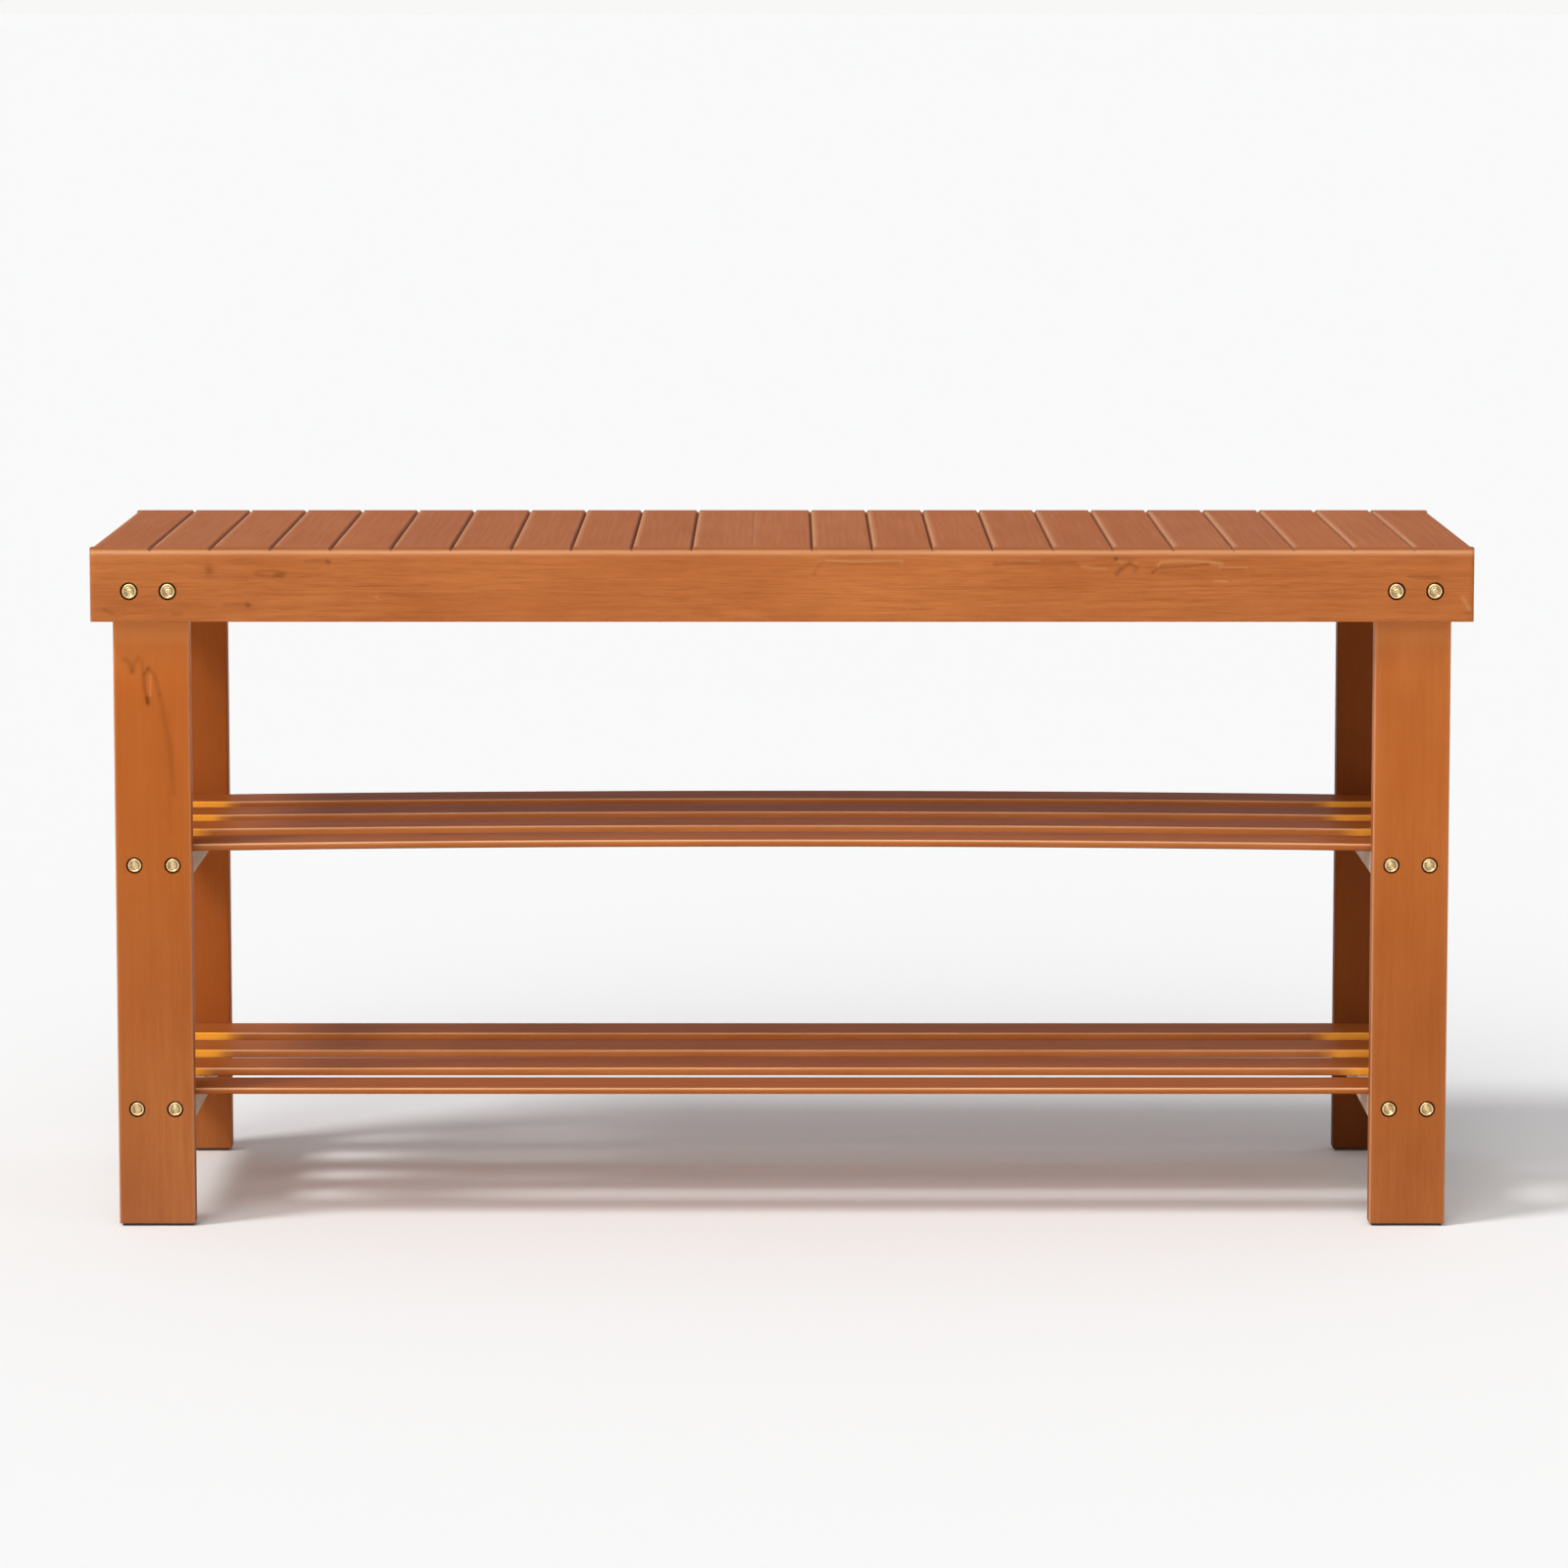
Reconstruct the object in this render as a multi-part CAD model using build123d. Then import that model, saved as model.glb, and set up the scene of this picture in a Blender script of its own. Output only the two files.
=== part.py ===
"""Entryway bench: a slatted seat in a bolted frame, four legs and two slatted shoe shelves.

Millimetres, +Z up. The length runs along X and the front of the bench faces -Y. The origin is
on the floor, below the middle of the seat. Every piece is a separate solid.
"""
from build123d import *
import os

# Overall sizes
SEAT_LENGTH = 900.0
SEAT_DEPTH = 300.0
SEAT_HEIGHT = 450.0

# Seat frame: a long board at the front and at the back, and a short one at each end
BOARD_THICKNESS = 14.0
BOARD_HEIGHT = 48.0
BOARD_TOP_ROUND = 4.0
BOARD_CORNER_ROUND = 2.5
BOARD_BOTTOM_ROUND = 1.5
END_BOARD_THICKNESS = 13.0
END_BOARD_HEIGHT = 34.0
LEDGER_THICKNESS = 15.0
LEDGER_HEIGHT = 20.0

# Seat slats, side by side from end to end, with a V between them everywhere but at one plain seam
SEAT_SLAT_COUNT = 23
SEAT_SLAT_THICKNESS = 10.0
GROOVE_WIDTH = 3.2
GROOVE_DEPTH = 2.0
PLAIN_SEAM = 11
SEAT_SLAT_END_GAP = 0.1

# Legs and their pads
LEG_WIDTH = 50.0
LEG_THICKNESS = 14.0
LEG_EDGE_ROUND = 1.5
PAD_THICKNESS = 1.5
PAD_INSET = 2.0

# Shelves: a rail across each end, with slats along the bench on top of the rails
RAIL_HEIGHT = 15.0
RAIL_EDGE_ROUND = 1.0
UPPER_RAIL_CENTRE = 240.0
LOWER_RAIL_CENTRE = 78.0
SHELF_SLAT_COUNT = 4
SHELF_SLAT_WIDTH = 40.0
SHELF_SLAT_THICKNESS = 5.5
SHELF_SLAT_ROUND = 1.2
SHELF_SLAT_END_GAP = 0.1
UPPER_SHELF_RISE = 2.5

# Bolts: a round head in a counterbore, with a hexagonal socket
BOLT_DIAMETER = 5.0
BOLT_SPACING = 25.0
BOLT_HEAD_DIAMETER = 9.2
BOLT_HEAD_HEIGHT = 3.6
BOLT_HEAD_ROUND = 0.7
BOLT_HEAD_CLEARANCE = 0.9
BOLT_HEAD_SUNK = 0.5
BOLT_SOCKET = 4.0
BOLT_SOCKET_DEPTH = 2.2
BOLT_HOLE_CLEARANCE = 0.2
SEAT_BOLT_HEIGHT = 422.0
BOLT_END_CLEARANCE = 0.5

# Threaded inserts in the legs and barrel nuts in the rails
INSERT_DIAMETER = 8.0
INSERT_LENGTH = 10.0
BARREL_DIAMETER = 10.0
BARREL_LENGTH = 12.0
BARREL_DISTANCE = 25.0
BARREL_CLEARANCE = 0.2
BOLT_PAST_BARREL = 6.0

# Dowels and wood screws
DOWEL_DIAMETER = 6.0
FRAME_DOWEL_IN_BOARD = 9.0
FRAME_DOWEL_IN_END = 16.0
FRAME_DOWEL_SPACING = 16.0
SLAT_DOWEL_IN_SLAT = 6.0
SLAT_DOWEL_IN_LEG = 9.0
SCREW_DIAMETER = 3.0
SCREW_HEAD_DIAMETER = 6.0
SCREW_HEAD_HEIGHT = 2.0
SCREW_RECESS = 1.4
SCREW_IN_SEAT_SLAT = 7.0
SCREW_IN_SHELF_SLAT = 4.0
SCREW_IN_BOARD = 10.0
LEDGER_SCREW_COUNT = 6
LEDGER_SCREW_MARGIN = 40.0

# Places that follow from the sizes
BACK = SEAT_DEPTH / 2
END = SEAT_LENGTH / 2
BOARD_BOTTOM = SEAT_HEIGHT - BOARD_HEIGHT
SLAT_BOTTOM = SEAT_HEIGHT - SEAT_SLAT_THICKNESS
SLAT_PITCH = SEAT_LENGTH / SEAT_SLAT_COUNT
BOARD_INNER = BACK - BOARD_THICKNESS
LEG_INNER = BOARD_INNER - LEG_THICKNESS
LEG_OUTER_X = END - END_BOARD_THICKNESS
LEG_INNER_X = LEG_OUTER_X - LEG_WIDTH
LEG_CENTRE_X = LEG_OUTER_X - LEG_WIDTH / 2
BOLT_PLACES = [LEG_CENTRE_X - BOLT_SPACING / 2, LEG_CENTRE_X + BOLT_SPACING / 2]
COUNTERBORE_DIAMETER = BOLT_HEAD_DIAMETER + 2 * BOLT_HEAD_CLEARANCE
COUNTERBORE_DEPTH = BOLT_HEAD_SUNK + BOLT_HEAD_HEIGHT
BOLT_HOLE_DIAMETER = BOLT_DIAMETER + BOLT_HOLE_CLEARANCE
SEAT_BOLT_LENGTH = BOARD_THICKNESS - COUNTERBORE_DEPTH + INSERT_LENGTH
RAIL_BOLT_LENGTH = LEG_THICKNESS - COUNTERBORE_DEPTH + BARREL_DISTANCE + BOLT_PAST_BARREL
SHELF_PITCH = (2 * LEG_INNER - SHELF_SLAT_WIDTH) / (SHELF_SLAT_COUNT - 1)
RAIL_CENTRES = {"upper": UPPER_RAIL_CENTRE, "lower": LOWER_RAIL_CENTRE}
SIDES = {"left": -1, "right": 1}
FACES = {"front": -1, "rear": 1}


def block(x0, x1, y0, y1, z0, z1):
    """A box between two corners."""
    corner = Vector(min(x0, x1), min(y0, y1), min(z0, z1))
    box = Box(abs(x1 - x0), abs(y1 - y0), abs(z1 - z0), align=(Align.MIN, Align.MIN, Align.MIN))
    return Pos(corner) * box


def rod(start, direction, length, diameter):
    """A cylinder from a start point along a direction."""
    return extrude(Plane(start, z_dir=direction) * Circle(diameter / 2), length)


def edges_along(solid, axis, **limits):
    """Edges parallel to an axis whose middle lies at the given coordinates."""
    chosen = solid.edges().filter_by(axis)
    for name, place in limits.items():
        chosen = [e for e in chosen if abs(getattr(e @ 0.5, name) - place) < 0.01]
    return chosen


def groove_places():
    """X of every V between two seat slats."""
    seams = range(1, SEAT_SLAT_COUNT)
    return [-END + SLAT_PITCH * seam for seam in seams if seam != PLAIN_SEAM]


def long_board(face):
    """The front or rear board: rounded over along the top, with the slats' V cut across its edge."""
    outer = face * BACK
    inner = face * BOARD_INNER
    board = block(-END, END, inner, outer, BOARD_BOTTOM, SEAT_HEIGHT)
    board = fillet(edges_along(board, Axis.X, Y=outer, Z=SEAT_HEIGHT), BOARD_TOP_ROUND)
    board = fillet(edges_along(board, Axis.Z, Y=outer), BOARD_CORNER_ROUND)
    board = chamfer(edges_along(board, Axis.X, Y=outer, Z=BOARD_BOTTOM), BOARD_BOTTOM_ROUND / 2)
    half = GROOVE_WIDTH / 2
    wedge = make_face(Polyline((-half, 0), (half, 0), (0, -GROOVE_DEPTH), close=True))
    for x in groove_places():
        start = Plane((x, -BACK, SEAT_HEIGHT), x_dir=(1, 0, 0), z_dir=(0, -1, 0))
        board -= extrude(start * wedge, -SEAT_DEPTH)
    for x, spot_face in seat_bolt_places():
        if spot_face == face:
            board -= rod((x, outer, SEAT_BOLT_HEIGHT), (0, -face, 0), BOARD_THICKNESS, BOLT_HOLE_DIAMETER)
            board -= rod((x, outer, SEAT_BOLT_HEIGHT), (0, -face, 0), COUNTERBORE_DEPTH, COUNTERBORE_DIAMETER)
    for side in SIDES.values():
        for z in frame_dowel_heights():
            x = side * (END - END_BOARD_THICKNESS / 2)
            board -= rod((x, inner, z), (0, face, 0), FRAME_DOWEL_IN_BOARD, DOWEL_DIAMETER)
    for x in ledger_screw_places():
        z = SLAT_BOTTOM - LEDGER_HEIGHT / 2
        board -= rod((x, inner, z), (0, face, 0), SCREW_IN_BOARD, SCREW_DIAMETER)
    return board


def seat_bolt_places():
    """X and face of every bolt through a long board."""
    return [(side * x, face) for side in SIDES.values() for x in BOLT_PLACES for face in FACES.values()]


def frame_dowel_heights():
    """Heights of the two dowels in each end of an end board."""
    middle = SLAT_BOTTOM - END_BOARD_HEIGHT / 2
    return [middle - FRAME_DOWEL_SPACING / 2, middle + FRAME_DOWEL_SPACING / 2]


def end_board(side):
    """A short board on edge under the outermost slat, dowelled between the long boards."""
    inner = side * LEG_OUTER_X
    bottom = SLAT_BOTTOM - END_BOARD_HEIGHT
    board = block(inner, side * END, -BOARD_INNER, BOARD_INNER, bottom, SLAT_BOTTOM)
    for face in FACES.values():
        for z in frame_dowel_heights():
            start = (side * (END - END_BOARD_THICKNESS / 2), face * BOARD_INNER, z)
            board -= rod(start, (0, -face, 0), FRAME_DOWEL_IN_END, DOWEL_DIAMETER)
    return board


def seat_slat(number):
    """One seat slat, front to back between the long boards, with its top edges cut for the V."""
    left = -END + SLAT_PITCH * (number - 1)
    right = left + SLAT_PITCH
    half = GROOVE_WIDTH / 2
    shoulder = SEAT_HEIGHT - GROOVE_DEPTH
    outline = [(left, SLAT_BOTTOM)]
    if number - 1 in (0, PLAIN_SEAM):
        outline.append((left, SEAT_HEIGHT))
    else:
        outline += [(left, shoulder), (left + half, SEAT_HEIGHT)]
    if number in (SEAT_SLAT_COUNT, PLAIN_SEAM):
        outline.append((right, SEAT_HEIGHT))
    else:
        outline += [(right - half, SEAT_HEIGHT), (right, shoulder)]
    outline.append((right, SLAT_BOTTOM))
    reach = BOARD_INNER - SEAT_SLAT_END_GAP
    start = Plane((0, -reach, 0), x_dir=(1, 0, 0), z_dir=(0, -1, 0))
    slat = extrude(start * make_face(Polyline(*outline, close=True)), -2 * reach)
    if number in (1, SEAT_SLAT_COUNT):
        end = left if number == 1 else right
        slat = fillet(edges_along(slat, Axis.Y, X=end, Z=SEAT_HEIGHT), BOARD_CORNER_ROUND)
    for x, y in slat_dowel_places():
        if left < x < right:
            slat -= rod((x, y, SLAT_BOTTOM), (0, 0, 1), SLAT_DOWEL_IN_SLAT, DOWEL_DIAMETER)
    for x, y in seat_screw_places():
        if left < x < right:
            slat -= rod((x, y, SLAT_BOTTOM), (0, 0, 1), SCREW_IN_SEAT_SLAT, SCREW_DIAMETER)
    return slat


def slat_dowel_places():
    """Middle of each patch where one of the two outer slats lies on a leg's top."""
    seam = END - SLAT_PITCH
    inner_patch = (max(LEG_INNER_X, seam - SLAT_PITCH) + seam) / 2
    outer_patch = (seam + LEG_OUTER_X) / 2
    y = (BOARD_INNER + LEG_INNER) / 2
    return [
        (side * x, face * y)
        for side in SIDES.values()
        for x in (inner_patch, outer_patch)
        for face in FACES.values()
    ]


def seat_screw_places():
    """One screw up through each ledger into every slat that lies well on it."""
    y = BOARD_INNER - LEDGER_THICKNESS / 2
    middles = [-END + SLAT_PITCH * (number - 0.5) for number in range(1, SEAT_SLAT_COUNT + 1)]
    margin = SCREW_HEAD_DIAMETER
    return [(x, face * y) for x in middles if abs(x) < LEG_INNER_X - margin for face in FACES.values()]


def ledger_screw_places():
    """X of the screws that hold a ledger to its board."""
    first = -LEG_INNER_X + LEDGER_SCREW_MARGIN
    step = -2 * first / (LEDGER_SCREW_COUNT - 1)
    places = [first + step * index for index in range(LEDGER_SCREW_COUNT)]
    return [clear_of_slat_screws(x) for x in places]


def clear_of_slat_screws(x):
    """The seam between two slats that is nearest to x, where no slat screw stands."""
    seam = round((x + END) / SLAT_PITCH)
    return -END + SLAT_PITCH * seam


def ledger(face):
    """A strip along a long board between the legs, which the slats rest on."""
    inner = face * (BOARD_INNER - LEDGER_THICKNESS)
    bottom = SLAT_BOTTOM - LEDGER_HEIGHT
    strip = block(-LEG_INNER_X, LEG_INNER_X, inner, face * BOARD_INNER, bottom, SLAT_BOTTOM)
    for x, y in seat_screw_places():
        if y * face > 0:
            strip -= screw((x, y, bottom), (0, 0, 1), LEDGER_HEIGHT)
    for x in ledger_screw_places():
        strip -= screw((x, inner, SLAT_BOTTOM - LEDGER_HEIGHT / 2), (0, face, 0), LEDGER_THICKNESS)
    return strip


def screw(start, direction, length):
    """A countersunk wood screw whose head is flush with the surface at its start."""
    under_head = Vector(*start) + Vector(*direction) * SCREW_HEAD_HEIGHT
    head = loft([
        Plane(start, z_dir=direction) * Circle(SCREW_HEAD_DIAMETER / 2),
        Plane(under_head, z_dir=direction) * Circle(SCREW_DIAMETER / 2),
    ])
    return head + rod(under_head, direction, length - SCREW_HEAD_HEIGHT, SCREW_DIAMETER)


def visible_screw(start, direction, length):
    """A screw with a square drive sunk in its head."""
    drive = Plane(start, z_dir=direction) * Rectangle(SCREW_DIAMETER / 2, SCREW_DIAMETER / 2)
    return screw(start, direction, length) - extrude(drive, SCREW_RECESS)


def bolt(start, direction, length):
    """A bolt whose head's top is at its start, with a hexagonal socket and a rounded rim."""
    head = rod(start, direction, BOLT_HEAD_HEIGHT, BOLT_HEAD_DIAMETER)
    rim = head.edges().filter_by(GeomType.CIRCLE).sort_by_distance(Vector(*start))[0]
    head = fillet(rim, BOLT_HEAD_ROUND)
    socket = Plane(start, z_dir=direction) * RegularPolygon(BOLT_SOCKET / 2, 6, major_radius=False)
    under_head = Vector(*start) + Vector(*direction) * BOLT_HEAD_HEIGHT
    return head - extrude(socket, BOLT_SOCKET_DEPTH) + rod(under_head, direction, length, BOLT_DIAMETER)


def leg(side, face):
    """One leg, bolted to a long board above and to the two rails of its side below."""
    outer = face * BOARD_INNER
    inner = face * LEG_INNER
    post = block(side * LEG_INNER_X, side * LEG_OUTER_X, inner, outer, PAD_THICKNESS, SLAT_BOTTOM)
    post = fillet(edges_along(post, Axis.Z), LEG_EDGE_ROUND)
    for x in BOLT_PLACES:
        start = (side * x, outer, SEAT_BOLT_HEIGHT)
        post -= rod(start, (0, -face, 0), INSERT_LENGTH, INSERT_DIAMETER)
        for z in RAIL_CENTRES.values():
            post -= rod((side * x, outer, z), (0, -face, 0), LEG_THICKNESS, BOLT_HOLE_DIAMETER)
            post -= rod((side * x, outer, z), (0, -face, 0), COUNTERBORE_DEPTH, COUNTERBORE_DIAMETER)
    for x, y in slat_dowel_places():
        if x * side > 0 and y * face > 0:
            post -= rod((x, y, SLAT_BOTTOM), (0, 0, -1), SLAT_DOWEL_IN_LEG, DOWEL_DIAMETER)
    return post


def rail(side, centre):
    """A rail between the front and rear leg of one side, drilled for its bolts and barrel nuts."""
    bottom = centre - RAIL_HEIGHT / 2
    top = centre + RAIL_HEIGHT / 2
    bar = block(side * LEG_INNER_X, side * LEG_OUTER_X, -LEG_INNER, LEG_INNER, bottom, top)
    bar = fillet(edges_along(bar, Axis.Y), RAIL_EDGE_ROUND)
    hole = BARREL_DISTANCE + BOLT_PAST_BARREL + BOLT_END_CLEARANCE
    barrel_hole = (RAIL_HEIGHT + BARREL_LENGTH) / 2
    for x in BOLT_PLACES:
        for face in FACES.values():
            bar -= rod((side * x, face * LEG_INNER, centre), (0, -face, 0), hole, BOLT_HOLE_DIAMETER)
            start = (side * x, face * (LEG_INNER - BARREL_DISTANCE), bottom)
            bar -= rod(start, (0, 0, 1), barrel_hole, BARREL_DIAMETER + BARREL_CLEARANCE)
    for x, y in shelf_screw_places():
        if x * side > 0:
            bar -= screw((x, y, bottom), (0, 0, 1), RAIL_HEIGHT)
    return bar


def shelf_slat_middles():
    """Y of the middle of each shelf slat, from the front to the back."""
    first = -LEG_INNER + SHELF_SLAT_WIDTH / 2
    return [first + SHELF_PITCH * index for index in range(SHELF_SLAT_COUNT)]


def shelf_screw_places():
    """One screw between a rail's two bolts for each end of each shelf slat."""
    return [(side * LEG_CENTRE_X, y) for side in SIDES.values() for y in shelf_slat_middles()]


def shelf_slat(middle, centre, rise):
    """A shelf slat on top of two rails, flat over each rail and bowed up by the rise between them."""
    bottom = centre + RAIL_HEIGHT / 2
    top = bottom + SHELF_SLAT_THICKNESS
    width = SHELF_SLAT_WIDTH - 2 * SHELF_SLAT_END_GAP
    if rise:
        near, far = LEG_INNER_X, LEG_OUTER_X
        lower = ThreePointArc((-near, bottom), (0, bottom + rise), (near, bottom))
        upper = ThreePointArc((near, top), (0, top + rise), (-near, top))
        right_end = Polyline((near, bottom), (far, bottom), (far, top), (near, top))
        left_end = Polyline((-near, top), (-far, top), (-far, bottom), (-near, bottom))
        side_view = make_face([lower, right_end, upper, left_end])
    else:
        side_view = Pos(0, (bottom + top) / 2) * Rectangle(2 * LEG_OUTER_X, SHELF_SLAT_THICKNESS)
    start = Plane((0, middle - width / 2, 0), x_dir=(1, 0, 0), z_dir=(0, -1, 0))
    slat = extrude(start * side_view, -width)
    slat = fillet(long_edges(slat), SHELF_SLAT_ROUND)
    for side in SIDES.values():
        slat -= rod((side * LEG_CENTRE_X, middle, bottom), (0, 0, 1), SCREW_IN_SHELF_SLAT, SCREW_DIAMETER)
    return slat


def long_edges(slat):
    """The edges that run along a shelf slat on its top face and its underside."""
    ends = (-LEG_OUTER_X, LEG_OUTER_X)
    return [
        edge for edge in slat.edges()
        if edge.bounding_box().size.X > LEG_WIDTH / 2 and edge.bounding_box().size.Y < 0.01
        and edge.center().X not in ends
    ]


def leg_insert(side, x, face):
    """A threaded insert in a leg's outer face, around the end of a seat bolt."""
    start = (side * x, face * BOARD_INNER, SEAT_BOLT_HEIGHT)
    body = rod(start, (0, -face, 0), INSERT_LENGTH, INSERT_DIAMETER)
    return body - rod(start, (0, -face, 0), INSERT_LENGTH, BOLT_DIAMETER)


def barrel_nut(side, x, face, centre):
    """A barrel nut across a rail, threaded for one rail bolt."""
    y = face * (LEG_INNER - BARREL_DISTANCE)
    body = rod((side * x, y, centre - BARREL_LENGTH / 2), (0, 0, 1), BARREL_LENGTH, BARREL_DIAMETER)
    start = (side * x, y + BARREL_DIAMETER / 2, centre)
    return body - rod(start, (0, -1, 0), BARREL_DIAMETER, BOLT_DIAMETER)


def foot_pad(side, face):
    """A thin pad under a leg."""
    inner = side * (LEG_INNER_X + PAD_INSET)
    outer = side * (LEG_OUTER_X - PAD_INSET)
    near = face * (LEG_INNER + PAD_INSET)
    far = face * (BOARD_INNER - PAD_INSET)
    return block(inner, outer, near, far, 0, PAD_THICKNESS)


def corners():
    """Side and face of each of the four corners."""
    return [(side, face) for side in SIDES.values() for face in FACES.values()]


def bolt_corners():
    """Side, distance from the middle, and face of each bolt of one height."""
    return [(side, x, face) for side, face in corners() for x in BOLT_PLACES]


def rail_bolts(centre):
    """The eight bolts through the legs into the two rails of one shelf."""
    outer = BOARD_INNER - BOLT_HEAD_SUNK
    return [
        bolt((side * x, face * outer, centre), (0, -face, 0), RAIL_BOLT_LENGTH)
        for side, x, face in bolt_corners()
    ]


def seat_bolts():
    """The eight bolts through the long boards into the legs."""
    outer = BACK - BOLT_HEAD_SUNK
    return [
        bolt((side * x, face * outer, SEAT_BOLT_HEIGHT), (0, -face, 0), SEAT_BOLT_LENGTH)
        for side, x, face in bolt_corners()
    ]


def frame_dowels():
    """Two dowels in every joint between a long board and an end board."""
    start = BOARD_INNER + FRAME_DOWEL_IN_BOARD
    length = FRAME_DOWEL_IN_BOARD + FRAME_DOWEL_IN_END
    x = END - END_BOARD_THICKNESS / 2
    return [
        rod((side * x, face * start, z), (0, -face, 0), length, DOWEL_DIAMETER)
        for side, face in corners() for z in frame_dowel_heights()
    ]


def slat_dowels():
    """A dowel from each leg's top into each of the two slats above it."""
    start = SLAT_BOTTOM - SLAT_DOWEL_IN_LEG
    length = SLAT_DOWEL_IN_LEG + SLAT_DOWEL_IN_SLAT
    return [rod((x, y, start), (0, 0, 1), length, DOWEL_DIAMETER) for x, y in slat_dowel_places()]


def seat_slat_screws():
    """The screws up through the ledgers into the seat slats."""
    start = SLAT_BOTTOM - LEDGER_HEIGHT
    length = LEDGER_HEIGHT + SCREW_IN_SEAT_SLAT
    return [visible_screw((x, y, start), (0, 0, 1), length) for x, y in seat_screw_places()]


def ledger_screws():
    """The screws through the ledgers into the long boards."""
    start = BOARD_INNER - LEDGER_THICKNESS
    z = SLAT_BOTTOM - LEDGER_HEIGHT / 2
    length = LEDGER_THICKNESS + SCREW_IN_BOARD
    return [
        visible_screw((x, face * start, z), (0, face, 0), length)
        for face in FACES.values() for x in ledger_screw_places()
    ]


def shelf_screws(centre):
    """The screws up through the rails into the slats of one shelf."""
    start = centre - RAIL_HEIGHT / 2
    length = RAIL_HEIGHT + SCREW_IN_SHELF_SLAT
    return [visible_screw((x, y, start), (0, 0, 1), length) for x, y in shelf_screw_places()]


def bench():
    """Every node's name and its solids."""
    nodes = {}
    for face_name, face in FACES.items():
        nodes[f"{face_name}_board"] = [long_board(face)]
        nodes[f"{face_name}_ledger"] = [ledger(face)]
        for side_name, side in SIDES.items():
            nodes[f"{face_name}_{side_name}_leg"] = [leg(side, face)]
    for number in range(1, SEAT_SLAT_COUNT + 1):
        nodes[f"seat_slat_{number:02d}"] = [seat_slat(number)]
    for side_name, side in SIDES.items():
        nodes[f"{side_name}_end_board"] = [end_board(side)]
    rises = {"upper": UPPER_SHELF_RISE, "lower": 0}
    for level, centre in RAIL_CENTRES.items():
        for side_name, side in SIDES.items():
            nodes[f"{level}_{side_name}_rail"] = [rail(side, centre)]
        for number, middle in enumerate(shelf_slat_middles(), start=1):
            nodes[f"{level}_shelf_slat_{number}"] = [shelf_slat(middle, centre, rises[level])]
        nodes[f"{level}_shelf_bolts"] = rail_bolts(centre)
        nodes[f"{level}_barrel_nuts"] = [barrel_nut(*place, centre) for place in bolt_corners()]
        nodes[f"{level}_slat_screws"] = shelf_screws(centre)
    nodes["seat_bolts"] = seat_bolts()
    nodes["leg_inserts"] = [leg_insert(*place) for place in bolt_corners()]
    nodes["frame_dowels"] = frame_dowels()
    nodes["slat_dowels"] = slat_dowels()
    nodes["seat_slat_screws"] = seat_slat_screws()
    nodes["ledger_screws"] = ledger_screws()
    nodes["foot_pads"] = [foot_pad(*corner) for corner in corners()]
    return nodes


os.makedirs("parts", exist_ok=True)
for name, pieces in bench().items():
    solids = [solid for piece in pieces for solid in piece.solids()]
    export_step(solids[0] if len(solids) == 1 else Compound(children=solids), f"parts/{name}.step")
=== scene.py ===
import math
import random

import bmesh
import bpy
import numpy as np
from mathutils import Matrix, Vector, noise


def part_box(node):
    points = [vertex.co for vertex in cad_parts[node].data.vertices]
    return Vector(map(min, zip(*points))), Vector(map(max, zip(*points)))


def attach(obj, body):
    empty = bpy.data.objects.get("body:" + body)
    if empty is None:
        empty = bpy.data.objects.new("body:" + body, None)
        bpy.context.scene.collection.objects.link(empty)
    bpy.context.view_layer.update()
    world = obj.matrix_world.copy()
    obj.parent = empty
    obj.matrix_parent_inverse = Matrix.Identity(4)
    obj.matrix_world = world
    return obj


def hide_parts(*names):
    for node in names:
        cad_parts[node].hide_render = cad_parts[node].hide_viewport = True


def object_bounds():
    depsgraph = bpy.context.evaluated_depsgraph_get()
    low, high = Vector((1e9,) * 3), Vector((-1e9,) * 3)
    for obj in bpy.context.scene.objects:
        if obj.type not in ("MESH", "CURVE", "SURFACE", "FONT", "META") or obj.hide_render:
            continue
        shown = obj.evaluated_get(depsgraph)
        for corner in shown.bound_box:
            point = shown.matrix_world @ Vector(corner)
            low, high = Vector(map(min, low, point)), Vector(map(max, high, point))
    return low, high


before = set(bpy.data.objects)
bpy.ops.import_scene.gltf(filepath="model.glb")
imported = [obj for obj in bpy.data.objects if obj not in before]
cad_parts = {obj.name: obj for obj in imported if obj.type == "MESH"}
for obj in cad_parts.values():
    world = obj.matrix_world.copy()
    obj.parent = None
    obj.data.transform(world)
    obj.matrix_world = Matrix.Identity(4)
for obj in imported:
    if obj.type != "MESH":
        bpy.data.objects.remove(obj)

MM = 0.001
cad_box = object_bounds()


# ---- Camera: a long lens from the front, a little above the seat ----
# It looks down by a few degrees. The small shift keeps the legs nearly upright in the frame.
def look_from(distance, aside, height, pitch_degrees, lens_mm, shift_y):
    """A camera at a distance from the front of the seat, nearly on the bench's middle line."""
    data = bpy.data.cameras.new("camera")
    data.sensor_width = 36.0
    data.lens = lens_mm
    data.shift_y = shift_y
    data.clip_end = 9000.0
    camera = bpy.data.objects.new("camera", data)
    camera.location = (aside, cad_box[0].y - distance, height)
    camera.rotation_euler = (math.radians(90 - pitch_degrees), 0, 0)
    bpy.context.scene.collection.objects.link(camera)
    bpy.context.scene.camera = camera


look_from(distance=3.800, aside=0.0013, height=0.796, pitch_degrees=5.97, lens_mm=134.9, shift_y=-0.1)


# ---- Studio: white floor, one soft key light from the front left, pale surroundings ----
# The floor is a white painted board, matt, that runs out to the horizon on every side.
# The floor lies just under the glides, so that the two surfaces don't flicker through each other.
FLOOR_GAP = 0.2 * MM
FLOOR_NEAR = 3.0
FLOOR_FAR = 4000.0


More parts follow.
